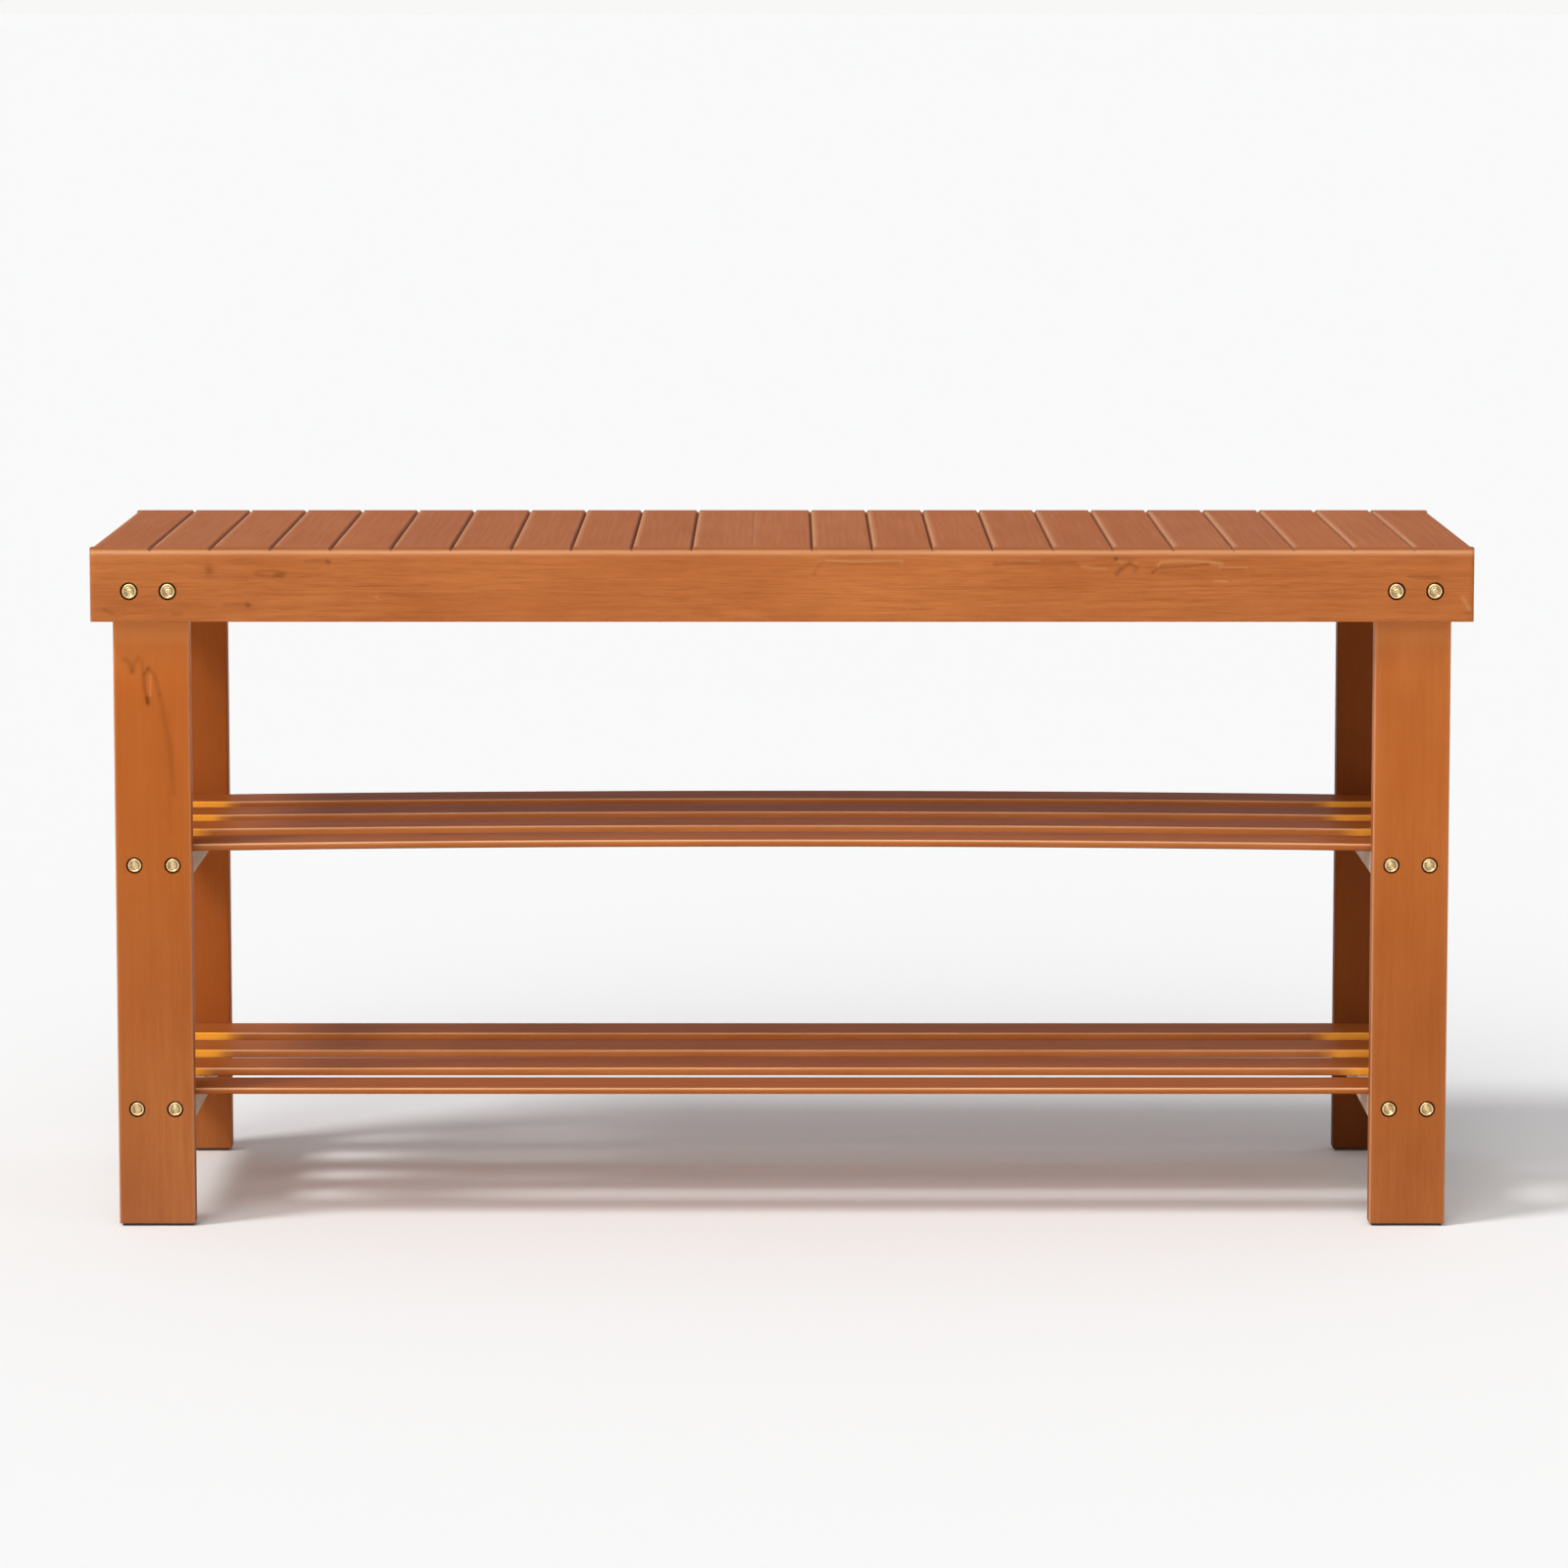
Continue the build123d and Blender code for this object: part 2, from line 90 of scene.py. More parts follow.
def linear(hex_colour):
    """An sRGB hex colour as linear RGBA."""
    channels = [int(hex_colour[i:i + 2], 16) / 255 for i in (1, 3, 5)]
    return [c / 12.92 if c <= 0.04045 else ((c + 0.055) / 1.055) ** 2.4 for c in channels] + [1.0]


def add(tree, kind, inputs=None, **settings):
    """A node with its settings and inputs. An input is a node or socket to link from, or a value."""
    node = tree.nodes.new(kind)
    for name, value in settings.items():
        setattr(node, name, value)
    for name, value in (inputs or {}).items():
        shown = [socket for socket in node.inputs if socket.enabled and socket.name == name]
        socket = shown[0] if shown else node.inputs[name]
        if isinstance(value, bpy.types.Node):
            value = [output for output in value.outputs if output.enabled][0]
        if isinstance(value, bpy.types.NodeSocket):
            tree.links.new(value, socket)
        else:
            socket.default_value = linear(value) if isinstance(value, str) else value
    return node


def new_material(name):
    """A material with no nodes yet."""
    material = bpy.data.materials.new(name)
    material.use_nodes = True
    material.node_tree.nodes.clear()
    return material, material.node_tree


def link_object(name, mesh):
    """An object that holds a mesh, in the scene."""
    piece = bpy.data.objects.new(name, mesh)
    bpy.context.scene.collection.objects.link(piece)
    return piece


def make_floor():
    """Three by three panels: a small one under the bench, and long ones out to the horizon."""
    lines = (-FLOOR_FAR, -FLOOR_NEAR, FLOOR_NEAR, FLOOR_FAR)
    mesh = bpy.data.meshes.new("floor")
    corners = [(x, y, 0) for y in lines for x in lines]
    mesh.from_pydata(corners, [], [(k, k + 1, k + 5, k + 4) for k in range(11) if k % 4 < 3])
    floor = link_object("floor", mesh)
    floor.location.z = -FLOOR_GAP
    material, tree = new_material("white_painted_floor")
    shader = add(tree, "ShaderNodeBsdfPrincipled", {
        "Base Color": "#f1f1f0", "Roughness": 1.0, "Specular IOR Level": 0.0})
    add(tree, "ShaderNodeOutputMaterial", {"Surface": shader})
    mesh.materials.append(material)


def make_light():
    """A key light, a softbox high in front, and pale surroundings that meet the floor."""
    key = bpy.data.lights.new("key", "SUN")
    key.energy = 1.58
    key.angle = math.radians(14)
    lamp = bpy.data.objects.new("key", key)
    towards_light = Vector((-0.74, -0.43, 1.0))
    lamp.rotation_euler = towards_light.to_track_quat("Z", "Y").to_euler()
    bpy.context.scene.collection.objects.link(lamp)

    world = bpy.data.worlds.new("studio")
    world.use_nodes = True
    tree = world.node_tree
    tree.nodes.clear()
    direction = add(tree, "ShaderNodeTexCoord").outputs["Generated"]
    parts = add(tree, "ShaderNodeSeparateXYZ", {"Vector": direction})
    # At the horizon the surroundings are as bright as the lit floor, and above it they are greyer.
    height = add(tree, "ShaderNodeMapRange", {
        "Value": parts.outputs["Z"], "From Min": 0.012, "From Max": 0.10}, interpolation_type="SMOOTHSTEP")
    dome = add(tree, "ShaderNodeMix", {"Factor": height, "A": "#f8f8f7", "B": "#b1b2b5"}, data_type="RGBA")
    # The softbox is full bright within 13 degrees of its middle and fades out at 27.
    softbox_at = Vector((-0.20, -0.80, 0.62)).normalized()
    softbox_colour = (1.0, 0.985, 0.96, 1.0)
    facing = add(tree, "ShaderNodeVectorMath", {0: direction, 1: softbox_at}, operation="DOT_PRODUCT")
    softbox = add(tree, "ShaderNodeMapRange", {
        "Value": facing, "From Min": math.cos(math.radians(27)), "From Max": math.cos(math.radians(13)),
        "To Min": 0.0, "To Max": 3.3}, interpolation_type="SMOOTHSTEP")
    pale = add(tree, "ShaderNodeBackground", {"Color": dome, "Strength": 1.0})
    warm = add(tree, "ShaderNodeBackground", {"Color": softbox_colour, "Strength": softbox})
    both = add(tree, "ShaderNodeAddShader", {0: pale, 1: warm})
    add(tree, "ShaderNodeOutputWorld", {"Surface": both})
    bpy.context.scene.world = world


make_floor()
make_light()
bpy.context.scene.view_settings.view_transform = "Standard"


# ---- Long boards of the seat frame ----
# Planed hardwood, rounded over along the top, stained a warm brown and sprayed with satin lacquer.
# The slats' V cuts run on across their top edges. Bolt heads sit in counterbores near the ends.
def rounded_outline(corners, radii, steps, round_steps=4):
    """A closed outline through rounded corners. Each step is the spacing on the side after a corner."""
    most_of_side = 0.45
    points = []
    cuts = []
    for i, corner in enumerate(corners):
        here = Vector(corner)
        before = Vector(corners[i - 1])
        after = Vector(corners[(i + 1) % len(corners)])
        start = here + (before - here).normalized() * min(radii[i], (before - here).length * most_of_side)
        end = here + (after - here).normalized() * min(radii[i], (after - here).length * most_of_side)
        cuts.append((start, here, end))
    for i, (start, corner, end) in enumerate(cuts):
        for k in range(round_steps + 1):
            t = k / round_steps
            points.append(start * (1 - t) ** 2 + corner * 2 * t * (1 - t) + end * t * t)
        following = cuts[(i + 1) % len(corners)][0]
        pieces = max(1, round((following - end).length / steps[i]))
        points += [end.lerp(following, k / pieces) for k in range(1, pieces)]
    return [(p.x, p.y) for p in points]


def stations(low, high, step, end_round, extra=()):
    """Places along a piece, close together at its eased ends and at any extra places."""
    ease_steps = 3
    closest = 0.02 * MM
    ease = [end_round * (1 - math.cos(math.pi / 2 * k / ease_steps)) for k in range(ease_steps + 1)]
    count = max(2, round((high - low - 2 * end_round) / step))
    middle = np.linspace(low + end_round, high - end_round, count + 1)
    places = [low + d for d in ease] + list(middle) + [high - d for d in ease] + list(extra)
    kept = [low]
    for p in sorted(places):
        if p - kept[-1] > closest and p <= high:
            kept.append(p)
    kept[-1] = high
    return kept


def end_inset(place, low, high, end_round):
    """How far a piece draws in near its eased ends."""
    near = min(place - low, high - place)
    if near >= end_round:
        return 0.0
    return end_round - math.sqrt(max(0.0, end_round ** 2 - (end_round - near) ** 2))


def sweep(name, rings):
    """A closed mesh through rings of points, with an end cap at each side."""
    mesh = bpy.data.meshes.new(name)
    count = len(rings[0])
    faces = []
    for r in range(len(rings) - 1):
        for k in range(count):
            a = r * count + k
            b = r * count + (k + 1) % count
            faces.append((a, b, b + count, a + count))
    faces.append(tuple(reversed(range(count))))
    faces.append(tuple(range((len(rings) - 1) * count, len(rings) * count)))
    mesh.from_pydata([p for ring in rings for p in ring], [], faces)
    face_outwards(mesh)
    return link_object(name, mesh)


def face_outwards(mesh):
    """Turns every face of a closed mesh outwards and shades it smooth."""
    solid = bmesh.new()
    solid.from_mesh(mesh)
    bmesh.ops.recalc_face_normals(solid, faces=solid.faces)
    solid.to_mesh(mesh)
    solid.free()
    mesh.shade_smooth()


def drill(piece, holes, diameter, depth):
    """Sinks round holes along Y into a board, all at once. Each hole is a point on its face."""
    cutter = bmesh.new()
    upright = Matrix.Rotation(math.pi / 2, 4, "X")
    for place in holes:
        bmesh.ops.create_cone(
            cutter, cap_ends=True, segments=64, radius1=diameter / 2, radius2=diameter / 2,
            depth=2 * depth, matrix=Matrix.Translation(place) @ upright)
    mesh = bpy.data.meshes.new("cutter")
    cutter.to_mesh(mesh)
    cutter.free()
    tool = link_object("cutter", mesh)
    cut = piece.modifiers.new("holes", "BOOLEAN")
    cut.operation = "DIFFERENCE"
    cut.solver = "EXACT"
    cut.object = tool
    bpy.context.view_layer.update()
    evaluated = piece.evaluated_get(bpy.context.evaluated_depsgraph_get())
    result = bpy.data.meshes.new_from_object(evaluated)
    piece.modifiers.clear()
    piece.data = result
    bpy.data.objects.remove(tool)


def stroke_depth(points, strokes):
    """How strongly strokes mark each point. A stroke is its places (mm), width (mm) and strength."""
    total = np.zeros(len(points))
    for places, width, strength in strokes:
        route = np.array(places, float) * MM
        nearest = np.full(len(points), np.inf)
        for start, end in zip(route, route[1:]):
            along = end - start
            t = np.clip(((points - start) @ along) / (along @ along), 0, 1)
            gap = np.linalg.norm(points - (start + t[:, None] * along), axis=1)
            nearest = np.minimum(nearest, gap)
        total += strength * np.exp(-(nearest / (width * MM / 2)) ** 2)
    return total


def store(mesh, name, values):
    """A number or a vector for every point of a mesh, for its material to read."""
    values = np.asarray(values, np.float32)
    kind, field = ("FLOAT_VECTOR", "vector") if values.ndim == 2 else ("FLOAT", "value")
    mesh.attributes.new(name, kind, "POINT").data.foreach_set(field, values.ravel())


def points_of(piece):
    """The points of a piece, one row each."""
    places = np.empty(len(piece.data.vertices) * 3)
    piece.data.vertices.foreach_get("co", places)
    return places.reshape(-1, 3)


def finish_wood(piece, along, seed, tone=0.0, warmth=0.0, fibre=1.0, marks=0.0, painted_highlight=0.0, painted_glow=0.0):
    """Stores where each point lies in its timber, and how stain, wear, painted light and painted shade show
    there.

    tone darkens, or lightens below 0, and so also carries painted shade and painted light; warmth turns the
    stain orange, or greyer below 0; fibre is the strength of the streaks; marks are dark or light spots, some
    of them painted shade;
    then come a painted highlight on the arrises and a painted amber glow.
    """
    end_grain_tone = 0.30
    picker = random.Random(seed)
    mesh = piece.data
    places = points_of(piece)
    order = {"X": (0, 1, 2), "Y": (1, 2, 0), "Z": (2, 0, 1)}[along]
    # Where in the log the piece was cut (mm): along it, to one side, and out from the pith.
    cut_from = np.array([picker.uniform(0, 3000), picker.uniform(-60, 60), picker.uniform(35, 130)])
    store(mesh, "grain", places[:, order] / MM + cut_from)
    length = places[:, order[0]]
    at_end = (length < length.min() + 0.1 * MM) | (length > length.max() - 0.1 * MM)
    ones = np.ones(len(places))
    stain = [tone * ones + end_grain_tone * at_end, warmth * ones, fibre * ones]
    store(mesh, "stain", np.stack(stain, axis=1))
    store(mesh, "marks", marks * ones)
    store(mesh, "painted_highlight", painted_highlight * ones)
    store(mesh, "painted_glow", painted_glow * ones)
    weighted = piece.modifiers.new("even_normals", "WEIGHTED_NORMAL")
    weighted.keep_sharp = True
    weighted.weight = 80
    mesh.materials.clear()
    mesh.materials.append(STAINED)


# Patterns in the stained wood: their size along and across the grain (mm), detail and roughness.
# Fibres are about 0.2 mm wide in this timber; here they are 0.5 mm, so that they show.
WOOD_PATTERNS = {
    "wander": (260, 60, 1.0, 0.5), "fibres": (22, 0.5, 3.0, 0.65), "streaks": (110, 2.6, 2.0, 0.5),
    "clouds": (85, 34, 2.0, 0.5), "flecks": (3.2, 0.55, 1.0, 0.5),
}
RING_SPACING = 7.0
RING_WANDER = 26.0


def stained_wood():
    """Close-grained hardwood under a warm brown stain and satin lacquer.

    The eye sees fine fibres along the piece, soft growth bands, cloudy patches where the stain took unevenly,
    painted highlights on the arrises, painted light and shade in the tone and marks, a painted amber glow,
    and a soft sheen.
    """
    material, tree = new_material("stained_hardwood_satin_lacquer")
    grain = add(tree, "ShaderNodeAttribute", attribute_name="grain").outputs["Vector"]
    stain = add(tree, "ShaderNodeAttribute", attribute_name="stain").outputs["Vector"]
    parts = add(tree, "ShaderNodeSeparateXYZ", {"Vector": stain}).outputs
    shown = {"tone": parts["X"], "warmth": parts["Y"], "fibre": parts["Z"]}
    for name in ("marks", "painted_highlight", "painted_glow"):
        shown[name] = add(tree, "ShaderNodeAttribute", attribute_name=name).outputs["Fac"]
    for name, (along, across, detail, roughness) in WOOD_PATTERNS.items():
        scaled = add(tree, "ShaderNodeVectorMath", {
            0: grain, 1: (1 / along, 1 / across, 1 / across)}, operation="MULTIPLY")
        shown[name] = add(tree, "ShaderNodeTexNoise", {
            "Vector": scaled, "Scale": 1.0, "Detail": detail, "Roughness": roughness})

    # Growth rings run round a pith that lies outside the piece and wanders along it.
    place = add(tree, "ShaderNodeSeparateXYZ", {"Vector": grain}).outputs
    aside = add(tree, "ShaderNodeMath", {
        0: shown["wander"], 1: RING_WANDER, 2: place["Y"]}, operation="MULTIPLY_ADD")
    aside = add(tree, "ShaderNodeMath", {0: aside, 1: aside}, operation="MULTIPLY")
    out = add(tree, "ShaderNodeMath", {0: place["Z"], 1: place["Z"]}, operation="MULTIPLY")
    radius = add(tree, "ShaderNodeMath", {0: aside, 1: out}, operation="ADD")
    radius = add(tree, "ShaderNodeMath", {0: radius}, operation="SQRT")
    turn = add(tree, "ShaderNodeMath", {0: radius, 1: 2 * math.pi / RING_SPACING}, operation="MULTIPLY")
    ring = add(tree, "ShaderNodeMath", {0: turn}, operation="SINE")
    shown["rings"] = add(tree, "ShaderNodeMath", {0: ring, 1: 0.5, 2: 0.5}, operation="MULTIPLY_ADD")

    # Each layer goes over the ones before. It has a pattern, the gain and level that sharpen it,
    # what it grows with, and its colour.
    body = "#c07540"
    for pattern, gain, level, grows_with, colour in (
            ("clouds", 1.5, -0.34, None, "#a55c2f"),
            ("streaks", 0.72, -0.26, "fibre", "#8a4620"),
            ("rings", 0.16, 0.0, "fibre", "#9c5328"),
            ("fibres", 2.0, -0.92, "fibre", "#7a3d1b"),
            ("fibres", -1.7, 0.66, "fibre", "#cf8b54"),
            ("flecks", 1.2, -0.72, None, "#7d4120"),
            ("warmth", 0.75, 0.0, None, "#b45c1d"),
            ("warmth", -0.75, 0.0, None, "#9c6347"),
            # Tone also paints shade, and light below 0.
            ("tone", 1.0, 0.0, None, "#3c1607"),
            ("tone", -1.0, 0.0, None, "#eb9a58"),
            ("marks", 1.0, 0.0, None, "#4f2410"),
            ("marks", -1.0, 0.0, None, "#e3ab79"),
            # Painted highlight on the arrises.
            ("streaks", 0.9, 0.38, "painted_highlight", "#f6bf90"),
            # Painted amber glow over the rails.
            ("painted_glow", 1.0, 0.0, None, "#f5a83c")):
        share = add(tree, "ShaderNodeMath", {
            0: shown[pattern], 1: gain, 2: level}, operation="MULTIPLY_ADD", use_clamp=True)
        if grows_with:
            share = add(tree, "ShaderNodeMath", {0: share, 1: shown[grows_with]}, operation="MULTIPLY")
        body = add(tree, "ShaderNodeMix", {"Factor": share, "A": body, "B": colour}, data_type="RGBA")

    roughness = add(tree, "ShaderNodeMath", {
        0: shown["streaks"], 1: 0.18, 2: 0.34}, operation="MULTIPLY_ADD")
    raised = add(tree, "ShaderNodeMath", {0: shown["fibres"], 1: shown["fibre"]}, operation="MULTIPLY")
    relief = add(tree, "ShaderNodeMath", {0: shown["clouds"], 1: 1.2, 2: raised}, operation="MULTIPLY_ADD")
    bump = add(tree, "ShaderNodeBump", {"Height": relief, "Strength": 0.22, "Distance": 0.15 * MM})
    # Painted light: the amber front edges glow a little, though they are no lamp.
    glow = add(tree, "ShaderNodeMath", {0: shown["painted_glow"], 1: 0.12}, operation="MULTIPLY")
    shader = add(tree, "ShaderNodeBsdfPrincipled", {
        "Base Color": body, "Roughness": roughness, "Specular IOR Level": 0.025, "Normal": bump,
        "Emission Color": "#ff921a", "Emission Strength": glow})
    add(tree, "ShaderNodeOutputMaterial", {"Surface": shader})
    return material


def put(piece, node):
    """Hands a finished piece over as the look of a node: hides the node's part and attaches the piece to the
    root body.
    """
    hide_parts(node)
    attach(piece, "root")


STAINED = stained_wood()
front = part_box("front_board")
slat_names = [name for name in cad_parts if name.startswith("seat_slat_") and name[-2:].isdigit()]
SLAT_COUNT = len(slat_names)
SLAT_PITCH = (front[1].x - front[0].x) / SLAT_COUNT
PLAIN_SEAM = 11
GROOVE_HALF = 1.6 * MM
GROOVE_DEPTH = 2.0 * MM
GROOVES = [front[0].x + SLAT_PITCH * k for k in range(1, SLAT_COUNT) if k != PLAIN_SEAM]
BOARD_ROUND = 4.0 * MM
BOARD_CORNER = 2.5 * MM
LEG_BOX = {
    (side, face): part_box(f"{face}_{side}_leg") for side in ("left", "right") for face in ("front", "rear")}
leg_middle = (LEG_BOX["right", "front"][0].x + LEG_BOX["right", "front"][1].x) / 2
BOLT_ASIDE = 12.5 * MM
BOLT_X = [end * leg_middle + offset * BOLT_ASIDE for end in (-1, 1) for offset in (-1, 1)]
COUNTERBORE = 11.8 * MM
LEG_COUNTERBORE = 10.9 * MM
COUNTERBORE_DEPTH = 4.1 * MM
SEAT_BOLT_Z = (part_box("seat_bolts")[0].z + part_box("seat_bolts")[1].z) / 2
# How dark the counterbore walls are painted, as painted shade in the recess.
COUNTERBORE_SHADE = 0.8

# Marks in the front board, each as places in X and Z (mm), a width (mm) and a strength:
# above 0 is dark, as a knot or gum streak, and below 0 is light, as a scuff or raised fibre. Along the torn
# sliver, a dark stroke is a painted shadow and a light one a painted highlight.
FRONT_MARKS = [
    ([(-372.5, 436.2), (-372.0, 435.6)], 5.0, 0.30),
    ([(-373.0, 440.0), (-372.0, 431.0)], 7.0, 0.08),
    ([(-342.0, 433.6), (-333.0, 431.6), (-325.0, 431.8)], 2.4, 0.26),
    ([(-341.0, 435.4), (-330.0, 435.6), (-324.0, 434.0)], 1.6, 0.18),
    ([(-329.0, 433.0), (-323.5, 433.2)], 3.8, 0.30),
    ([(-362.0, 413.2), (-349.0, 413.0)], 3.4, 0.16),
    ([(-347.2, 413.0), (-346.6, 412.8)], 3.0, 0.55),
    ([(-441.0, 410.5), (-438.0, 408.6), (-434.5, 407.6)], 1.6, 0.30),
    ([(-396.0, 407.0), (-391.0, 407.6)], 3.0, 0.18),
    ([(-310.0, 441.4), (-296.0, 441.6)], 1.6, 0.16),
    ([(-294.9, 441.3), (-294.3, 441.1)], 2.6, 0.55),
    ([(-264.1, 418.5), (-263.9, 418.4)], 1.0, -1.1),
    ([(20.5, 433.0), (23.0, 438.0), (28.0, 441.4)], 1.6, 0.20),
    ([(28.0, 442.2), (52.0, 441.4), (78.0, 441.8)], 1.5, -0.22),
    ([(30.0, 440.4), (54.0, 439.8), (76.0, 440.4)], 1.6, 0.18),
    ([(138.0, 439.6), (156.0, 440.6), (172.0, 439.8), (190.0, 440.8)], 2.2, 0.24),
    ([(146.0, 442.2), (168.0, 441.9)], 1.5, -0.15),
    ([(195.0, 438.4), (203.0, 437.2), (210.0, 436.8)], 1.8, -0.18),
    ([(141.0, 405.2), (160.0, 406.0), (180.0, 405.6)], 2.8, 0.14),
    ([(216.7, 443.3), (217.2, 443.0)], 1.9, 0.75),
    ([(217.0, 441.6), (224.0, 440.6), (231.0, 440.2)], 1.5, -0.20),
    ([(217.5, 433.4), (221.0, 437.0), (226.0, 440.0)], 2.6, 0.34),
    ([(227.0, 439.4), (231.0, 437.6), (229.0, 435.4)], 2.4, 0.28),
    # Painted shadow under the torn sliver, then a painted highlight on its raised edge.
    ([(241.0, 433.6), (244.0, 436.6), (256.0, 437.6), (277.0, 439.4)], 1.5, 0.34),
    ([(244.0, 438.2), (246.0, 441.2), (258.0, 441.9), (276.0, 441.3), (286.0, 440.0)], 1.7, -0.26),
    ([(284.0, 437.6), (302.0, 437.5)], 1.3, -0.20),
    ([(286.0, 436.2), (300.0, 436.1)], 1.3, 0.20),
    ([(281.0, 428.8), (289.0, 428.5)], 1.3, -0.22),
    ([(408.0, 431.8), (427.0, 431.2)], 2.0, 0.24),
    ([(442.5, 418.0), (446.5, 411.0)], 2.6, -0.20),
    ([(444.0, 407.8), (448.0, 407.2)], 1.8, 0.26),
]
# Hollows in the same board (mm deep): a split, torn grain, and small dents.
FRONT_HOLLOWS = [
    ([(241.0, 433.6), (244.0, 436.6), (256.0, 437.6), (277.0, 439.4)], 1.6, 0.50),
    ([(217.5, 433.4), (221.0, 437.0), (226.0, 440.0)], 2.6, 0.30),
    ([(227.0, 439.4), (231.0, 437.6)], 2.4, 0.30),
    ([(216.7, 443.3), (217.2, 443.0)], 1.9, 0.40),
    ([(20.5, 433.0), (23.0, 438.0), (28.0, 440.6), (76.0, 440.4)], 1.6, 0.14),
    ([(138.0, 439.6), (156.0, 440.6), (172.0, 439.8), (190.0, 440.8)], 2.2, 0.12),
    ([(-347.2, 413.0), (-346.6, 412.8)], 2.4, 0.20),
    ([(-294.9, 441.3), (-294.3, 441.1)], 2.2, 0.20),
]


def near_bolts(places, heights, outer):
    """Which points lie inside a counterbore, whose walls are painted dark as painted shade."""
    inside = np.zeros(len(places), bool)
    for x in BOLT_X:
        for z in heights:
            inside |= np.hypot(places[:, 0] - x, places[:, 2] - z) < COUNTERBORE / 2 + 0.1 * MM
    return inside & (np.abs(places[:, 1] - outer) > 0.6 * MM)


def long_board(node, outward, seed, marks, hollows, face_step):
    """A long board made in rings from its left end to its right end."""
    low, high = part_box(node)
    outer, inner = (low.y, high.y) if outward < 0 else (high.y, low.y)
    corners = [(outer, high.z), (outer, low.z), (inner, low.z), (inner, high.z)]
    under_step, back_step, top_step = 3 * MM, 8 * MM, 2.5 * MM
    steps = [face_step * MM, under_step, back_step, top_step]
    radii = [BOARD_ROUND, 0.8 * MM, 0.4 * MM, 0.2 * MM]
    outline = rounded_outline(corners, radii, steps, 7)
    cuts = [x + share * GROOVE_HALF for x in GROOVES for share in (-1, -0.5, 0, 0.5, 1)]
    # Rings are closer where the split and the torn grain are.
    worked = list(np.arange(212, 304, 0.9) * MM) if hollows else []
    rings = []
    for x in stations(low.x, high.x, 2.0 * face_step * MM, BOARD_CORNER, cuts + worked):
        limit = abs(outer) - end_inset(x, low.x, high.x, BOARD_CORNER)
        nearest = min(abs(x - g) for g in GROOVES)
        ceiling = high.z - max(0.0, GROOVE_DEPTH * (1 - nearest / GROOVE_HALF))
        ring = []
        for y, z in outline:
            # The planer left waves of 0.1 mm, about 60 mm long and under 20 mm wide.
            wave = 0.10 * MM * (0.5 + 0.5 * noise.noise(Vector((x * 16, y * 60 + seed, z * 55))))
            if abs(y) > abs(inner) + 1 * MM:
                y = max(-limit + wave, min(limit - wave, y))
            ring.append((x, y, min(z, ceiling)))
        rings.append(ring)
    piece = sweep(f"{node}_planed", rings)
    places = points_of(piece)
    if hollows:
        face = np.abs(places[:, 1] - outer) < 1.0 * MM
        places[:, 1] -= outward * np.where(face, stroke_depth(places[:, (0, 2)], hollows) * MM, 0)
        piece.data.vertices.foreach_set("co", places.ravel())
    drill(piece, [(x, outer, SEAT_BOLT_Z) for x in BOLT_X], COUNTERBORE, COUNTERBORE_DEPTH)
    places = points_of(piece)
    spots = stroke_depth(places[:, (0, 2)], marks) if marks else np.zeros(len(places))
    # Painted shade inside the counterbores.
    spots += COUNTERBORE_SHADE * near_bolts(places, [SEAT_BOLT_Z], outer)
    # A painted highlight lies on the front arris. The rounded top is painted darker, as painted shade, and
    # the flat top a little darker and warmer.
    behind_face = np.abs(places[:, 1] - outer)
    painted_highlight = np.exp(-(np.hypot(behind_face, places[:, 2] - (high.z - 2.5 * MM)) / (1.6 * MM)) ** 2)
    top = np.clip((places[:, 2] - high.z + 1.8 * MM) / (0.8 * MM), 0, 1)
    flat_top = top * np.clip((behind_face - 3 * MM) / (3 * MM), 0, 1)
    tone = np.interp(places[:, 0] / MM, (-300, -100, 100, 330, 450), (0.0, -0.04, -0.01, 0.04, -0.05))
    finish_wood(
        piece, "X", seed, tone=tone + 0.26 * (top - flat_top) + 0.07 * flat_top, warmth=0.8 * flat_top,
        marks=spots, painted_highlight=0.46 * painted_highlight)
    put(piece, node)


long_board("front_board", -1, 3, FRONT_MARKS, FRONT_HOLLOWS, 0.8)
long_board("rear_board", 1, 8, [], [], 2.0)


# ---- Seat slats ----
# Thin hardwood slats from front to back, held from below with dowels and screws. Their top edges
# are planed so that neighbours meet in a V, except at one plain seam, and the arrises are eased.
SLAT_UNDER = 0.2 * MM
SEAM_ROUND = 0.35 * MM
GROOVE_FOOT = 0.1 * MM
GROOVE_LIP = 0.5 * MM
# Light scratches on the seat: places in X and Y (mm), a width (mm) and a strength.
SEAT_SCRATCHES = [
    ([(-436, 22), (-426, 25), (-416, 24)], 1.4, -0.22),
    ([(-430, 30), (-421, 29)], 1.2, -0.16),
    ([(-407, -25), (-398, -21), (-390, -24)], 1.4, -0.20),
    ([(-404, -14), (-395, -16)], 1.2, -0.15),
    ([(-52, 40), (-44, 44)], 1.8, -0.12),
    ([(300, 10), (309, 12)], 1.6, -0.12),
]


